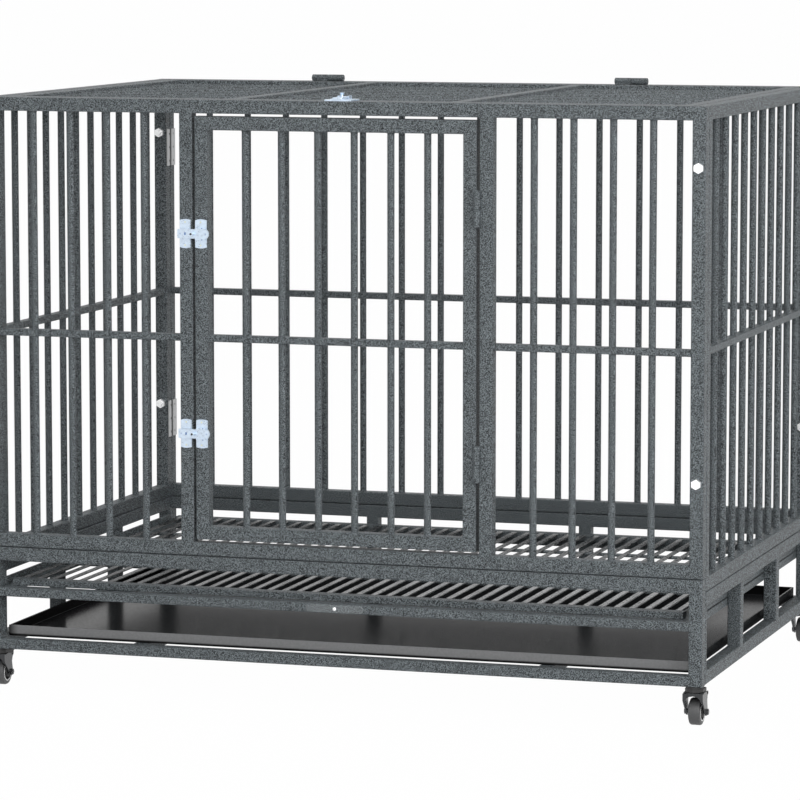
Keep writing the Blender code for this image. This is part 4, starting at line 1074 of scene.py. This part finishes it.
class CRATE_OT_latches(Operator):
    """Slide latches: plates and slides with rounded edges, their spot marks and knob ends, each
    knob's hole a dark disc of painted shade
    """

    bl_idname = "crate.latches"
    bl_label = "Latches"

    def execute(self, context):
        look = finish()
        gap_x = -DOOR_OPEN_HALF + LATCH_GAP / 2
        lid = Matrix.Rotation(math.pi / 2, 4, "Z")
        latches = (
            ("door_latch_upper", "front_door", "door_latch_upper",
             Matrix.Translation((gap_x, FRONT, CAGE_TOP - LATCH_DROP)) @ UPRIGHT),
            ("door_latch_lower", "front_door", "door_latch_lower",
             Matrix.Translation((gap_x, FRONT, CAGE_Z + LATCH_RISE)) @ UPRIGHT),
            ("roof_latch", "roof_door", "roof_latch",
             Matrix.Translation((LATCH_X_ROOF, FRONT + TUBE + ROOF_GAP / 2, CAGE_TOP)) @ lid))
        for label, leaf, slide, turn in latches:
            for word in ("keeper", "case", "slide"):
                zinc = zinc_plate(f"{label}_{word}_zinc", look.zinc)
                keep(f"{label}_{word}", zinc, LATCH_EDGE)
            yellow = zinc_plate(f"{label}_spot_zinc", look.spot)
            blue = zinc_plate(f"{label}_mark_zinc", look.mark)
            pale = zinc_plate(f"{label}_end_zinc", look.pale)
            dark = moulded(f"{label}_knob_hole", look.plastic)
            for word, body, x in (("keeper", "crate", -PLATE_X), ("case", leaf, PLATE_X)):
                self.discs(f"{label}_{word}_spots",
                           [(x, y, JOIN + PLATE_T - SINK) for y in (-SPOT_Y, SPOT_Y)],
                           SPOT_R, SPOT_T, yellow, body, turn)
            dress(f"{label}_slide_mark", lambda shape: add_block(
                shape, (SLIDE_MARK_X[0], SLIDE_MARK_Y[0], SLIDE_TOP - SINK),
                (SLIDE_MARK_X[1], SLIDE_MARK_Y[1], SLIDE_TOP + SINK), MARK_EDGE, 2, 2),
                blue, slide, turn=turn)
            self.discs(f"{label}_slide_ends", [(x, 0, SLIDE_TOP - SINK) for x in SLIDE_END_X],
                       SPOT_R, MARK_T, pale, slide, turn)
            self.discs(f"{label}_lip_marks",
                       [(LIP_MARK_X, y, LIP_TOP) for y in (-LIP_MARK_Y, LIP_MARK_Y)],
                       LIP_MARK_R, MARK_T, blue, leaf, turn)
            # painted shade: a thin dark disc on the knob's end stands in for the shade in its hole
            self.discs(f"{label}_knob_end", [(0, 0, KNOB_TOP - SINK)],
                       KNOB_HOLE_R, KNOB_HOLE_T, dark, slide, turn)
        return {"FINISHED"}

    def discs(self, name, spots, radius, thickness, material, body, turn):
        """Flat round marks on a latch, as one piece."""
        dress(name, lambda shape: [small_disc(shape, s, radius, thickness) for s in spots],
              material, body, turn=turn)


class CRATE_OT_bolts(Operator):
    """Corner bolts with their hexagon heads and nuts"""

    bl_idname = "crate.bolts"
    bl_label = "Bolts"

    def execute(self, context):
        for node in sorted(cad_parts):
            if node.startswith("bolt_"):
                zinc = zinc_plate(f"{node}_zinc", finish().bolt_zinc, BOLT_ROUGH)
                keep(node, zinc, BOLT_EDGE)
        return {"FINISHED"}


class CRATE_OT_joining_plates(Operator):
    """Plates that join the walls at the back corners, each with a groove and six screws"""

    bl_idname = "crate.joining_plates"
    bl_label = "Joining Plates"

    def execute(self, context):
        look = finish()
        places = [(word, level) for word in ("left", "right") for level in ("upper", "lower")]
        for word, level in places:
            node = f"joining_plate_{word}_{level}"
            low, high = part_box(node)
            middle = (low + high) / 2
            inside = 1 if middle.x < 0 else -1
            wall, face = (low.x, high.x) if inside > 0 else (high.x, low.x)
            cut = [middle.y + y for y in GROOVE]

            def strips(shape):
                for y0, y1 in ((low.y, cut[0]), (cut[1], high.y)):
                    add_block(shape, (low.x, y0, low.z), (high.x, y1, high.z), STRIP_EDGE, None, 2)

            # painted shade: a dark block in the groove and dark discs at the screws stand in for the
            # shade there
            def groove(shape):
                x0, x1 = sorted((wall, wall + inside * GROOVE_DEPTH))
                add_block(shape, (x0, cut[0] - GROOVE_OVER, low.z + GROOVE_END),
                          (x1, cut[1] + GROOVE_OVER, high.z - GROOVE_END), GROOVE_OVER, 2, 2)
                for y in SCREW_Y:
                    for z in SCREW_Z:
                        add_lathe(shape, [(-SCREW_H, 0), (-SCREW_H, SCREW_R), (0, SCREW_R), (0, 0)],
                                  (face, middle.y + y, middle.z + z), (inside, 0, 0),
                                  SCREW_SIDES, closed=False)

            zinc = zinc_plate(f"{node}_zinc", look.joiner, JOINER_ROUGH)
            dress(f"{node}_strips", strips, zinc, "crate", [node])
            dress(f"{node}_groove", groove, moulded(f"{node}_groove_dark", look.groove),
                  "crate", [node])
        return {"FINISHED"}


class CRATE_OT_turn_button(Operator):
    """Turn button on the base's middle rail: painted strip and a bright rivet"""

    bl_idname = "crate.turn_button"
    bl_label = "Turn Button"

    def execute(self, context):
        look = finish()
        low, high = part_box("turn_button")
        middle = (low + high) / 2
        half_l, radius = (high.x - low.x) / 2, (high.z - low.z) / 2
        front = high.y - BUTTON_T

        def strip(shape):
            loop = []
            for side, first in ((1, -90), (-1, 90)):
                for i in range(ARC_STEPS + 1):
                    a = math.radians(first + 180 * i / ARC_STEPS)
                    loop.append((side * (half_l - radius) + radius * math.cos(a),
                                 radius * math.sin(a)))
            flat = [shape.verts.new((x, front, middle.z + z)) for x, z in loop]
            face = shape.faces.new(flat)
            made = bmesh.ops.extrude_face_region(shape, geom=[face])["geom"]
            moved = [v for v in made if isinstance(v, bmesh.types.BMVert)]
            bmesh.ops.translate(shape, verts=moved, vec=(0, BUTTON_T, 0))
            rim = [e for e in shape.edges if all(abs(v.co.y - front) < LEVEL for v in e.verts)]
            bmesh.ops.bevel(shape, geom=rim, offset=BUTTON_EDGE, segments=2, affect="EDGES",
                            profile=0.5)

        def rivet(shape):
            rise = front - low.y
            foot = [(-RIVET_FOOT, 0), (-RIVET_FOOT, RIVET_R)]
            crown = [(rise * share, r) for share, r in RIVET_CROWN]
            add_lathe(shape, foot + crown, (middle.x, front, middle.z), (0, -1, 0),
                      RIVET_SIDES, closed=False)

        dress("turn_button_strip", strip, hammered_paint("turn_button_paint", look.button),
              "turn_button", ["turn_button"])
        dress("turn_button_rivet", rivet, zinc_plate("turn_button_rivet_zinc", look.bolt_zinc),
              "turn_button", ["turn_button"])
        return {"FINISHED"}


class CRATE_OT_casters(Operator):
    """Casters: turned wheels with tread, rim ring and hub, plated forks, stems and brakes"""

    bl_idname = "crate.casters"
    bl_label = "Casters"

    def execute(self, context):
        look = finish()
        for end in ("front", "back"):
            for word in ("left", "right"):
                caster = f"caster_{end}_{word}"
                keep(f"{caster}_fork", plated_steel(f"{caster}_fork_plating", look.chrome), FORK_EDGE)
                keep(f"{caster}_stem", moulded(f"{caster}_stem_black", look.washer), STEM_EDGE)
                if end == "front":
                    brake = moulded(f"{caster}_brake_black", look.plastic)
                    keep(f"{caster}_brake", brake, BRAKE_EDGE)
                self.wheel(f"{caster}_wheel", look)
        return {"FINISHED"}

    def wheel(self, node, look):
        """Tread, two rim rings and the core of one wheel; points are (along the axle, radius)."""
        low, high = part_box(node)
        middle = (low + high) / 2
        radius = (high.z - low.z) / 2
        hub = (high.x - low.x) / 2
        half = hub - HUB_PROUD

        def turned(shape, side, steps):
            profile = side + [(-x, r) for x, r in reversed(side)]
            add_lathe(shape, profile, middle, (1, 0, 0), steps)

        def tyre(shape):
            turned(shape, [(half - x, radius - r) for x, r in TYRE], WHEEL_SIDES)

        def rings(shape):
            for side in (-1, 1):
                x0, x1 = side * (half - RING_IN), side * (half + RING_PROUD)
                r0, r1 = [radius - drop for drop in RING_DROPS]
                add_lathe(shape, [(x0, r0), (x1, r0), (x1, r1), (x0, r1)],
                          middle, (1, 0, 0), WHEEL_SIDES)

        def core(shape):
            web = half - WEB_IN
            places = zip((hub, hub, hub - HUB_EDGE, web), HUB_RADII)
            turned(shape, list(places) + [(web, radius - WEB_DROP)], CORE_SIDES)

        dress(f"{node}_tyre", tyre, moulded(f"{node}_tread", look.rubber),
              node, [node])
        dress(f"{node}_rings", rings, moulded(f"{node}_ring_white", look.ring),
              node, [node])
        dress(f"{node}_core", core, moulded(f"{node}_core_black", look.plastic),
              node, [node])


def picture_rays(tree):
    """1 for the rays that show the background: camera, mirrored and through glass."""
    path = tree.nodes.new("ShaderNodeLightPath").outputs
    seen = combine(tree, "MAXIMUM", path["Is Camera Ray"], path["Is Glossy Ray"])
    return combine(tree, "MAXIMUM", seen, path["Is Transmission Ray"])


def mix_shaders(tree, first, second):
    """Mix node for two shaders, with its share still open."""
    node = tree.nodes.new("ShaderNodeMixShader")
    tree.links.new(first, node.inputs[1])
    tree.links.new(second, node.inputs[2])
    return node


def pale_floor(name, colour):
    """Pale floor that pictures and reflections show nearly white, with its shadow kept faint."""
    material = bpy.data.materials.new(name)
    material.use_nodes = True
    tree = material.node_tree
    surface = tree.nodes["Principled BSDF"]
    surface.inputs["Base Color"].default_value = (*colour, 1.0)
    surface.inputs["Roughness"].default_value = 0.9
    glow = tree.nodes.new("ShaderNodeEmission")
    glow.inputs["Strength"].default_value = 1.0
    lit = mix_shaders(tree, surface.outputs["BSDF"], glow.outputs["Emission"])
    lit.inputs["Fac"].default_value = FLOOR_WHITE
    both = mix_shaders(tree, surface.outputs["BSDF"], lit.outputs["Shader"])
    tree.links.new(picture_rays(tree), both.inputs["Fac"])
    tree.links.new(both.outputs["Shader"], tree.nodes["Material Output"].inputs["Surface"])
    return material


def white_room(name, strength):
    """Even light from all round, behind a background that pictures show white."""
    world = bpy.data.worlds.new(name)
    world.use_nodes = True
    tree = world.node_tree
    room = tree.nodes["Background"]
    white = tree.nodes.new("ShaderNodeBackground")
    for light, power in ((room, strength), (white, 1.0)):
        light.inputs["Color"].default_value = (1.0, 1.0, 1.0, 1.0)
        light.inputs["Strength"].default_value = power
    both = mix_shaders(tree, room.outputs["Background"], white.outputs["Background"])
    tree.links.new(picture_rays(tree), both.inputs["Fac"])
    tree.links.new(both.outputs["Shader"], tree.nodes["World Output"].inputs["Surface"])
    return world


def soft_lamp(name, place, size, power):
    """Large square area lamp that points at the middle of the crate."""
    lamp = bpy.data.lights.new(name, "AREA")
    lamp.shape = "SQUARE"
    lamp.size = size
    lamp.energy = power
    obj = bpy.data.objects.new(name, lamp)
    obj.location = place
    aim = Vector(LAMP_TARGET) - Vector(place)
    obj.rotation_euler = aim.to_track_quat("-Z", "Y").to_euler()
    bpy.context.scene.collection.objects.link(obj)


class CRATE_OT_stage(Operator):
    """Plain pale floor, soft lamps, room light and the camera"""

    bl_idname = "crate.stage"
    bl_label = "Stage"

    def execute(self, context):
        look = stage()
        scene = context.scene
        scene.view_settings.view_transform = "Standard"

        shape = bmesh.new()
        bmesh.ops.create_grid(shape, x_segments=1, y_segments=1, size=FLOOR_HALF)
        mesh = bpy.data.meshes.new("floor")
        shape.to_mesh(mesh)
        shape.free()
        mesh.materials.append(pale_floor("floor_pale", look.floor))
        floor = bpy.data.objects.new("floor", mesh)
        scene.collection.objects.link(floor)

        scene.world = white_room("room", look.sky)
        for name, place, size, power in LAMPS:
            soft_lamp(name, place, size, getattr(look, power))

        lens = bpy.data.cameras.new("photo_camera")
        lens.lens = look.lens
        lens.sensor_width = 36.0
        lens.clip_end = 200.0
        camera = bpy.data.objects.new("photo_camera", lens)
        camera.location = look.eye
        camera.rotation_euler = Euler((math.pi / 2 - look.pitch, 0.0, look.yaw), "XYZ")
        scene.collection.objects.link(camera)
        scene.camera = camera
        return {"FINISHED"}


class CRATE_PT_panel(Panel):
    """Lists the crate's operators and settings"""

    bl_label = "Dog Crate"
    bl_idname = "CRATE_PT_panel"
    bl_space_type = "VIEW_3D"
    bl_region_type = "UI"
    bl_category = "Dog Crate"

    def draw(self, context):
        layout = self.layout
        for group in ("crate_sizes", "crate_finish", "crate_stage"):
            settings = getattr(context.scene, group)
            box = layout.box()
            for key in settings.__annotations__:
                box.prop(settings, key)
        for step in STEPS:
            layout.operator(step.bl_idname)


SETTINGS = (CrateSizes, CrateFinish, CrateStage)
STEPS = (
    CRATE_OT_front_panel,
    CRATE_OT_back_panel,
    CRATE_OT_side_panels,
    CRATE_OT_front_door,
    CRATE_OT_roof_door,
    CRATE_OT_base,
    CRATE_OT_grate,
    CRATE_OT_tray,
    CRATE_OT_hinges,
    CRATE_OT_latches,
    CRATE_OT_bolts,
    CRATE_OT_joining_plates,
    CRATE_OT_turn_button,
    CRATE_OT_casters,
    CRATE_OT_stage,
)


def register():
    for item in SETTINGS + STEPS + (CRATE_PT_panel,):
        bpy.utils.register_class(item)
    bpy.types.Scene.crate_sizes = PointerProperty(type=CrateSizes)
    bpy.types.Scene.crate_finish = PointerProperty(type=CrateFinish)
    bpy.types.Scene.crate_stage = PointerProperty(type=CrateStage)


def unregister():
    del bpy.types.Scene.crate_stage
    del bpy.types.Scene.crate_finish
    del bpy.types.Scene.crate_sizes
    for item in reversed(SETTINGS + STEPS + (CRATE_PT_panel,)):
        bpy.utils.unregister_class(item)


def main():
    """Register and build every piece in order."""
    register()
    for step in STEPS:
        group, name = step.bl_idname.split(".")
        getattr(getattr(bpy.ops, group), name)()


if __name__ == "__main__":
    main()
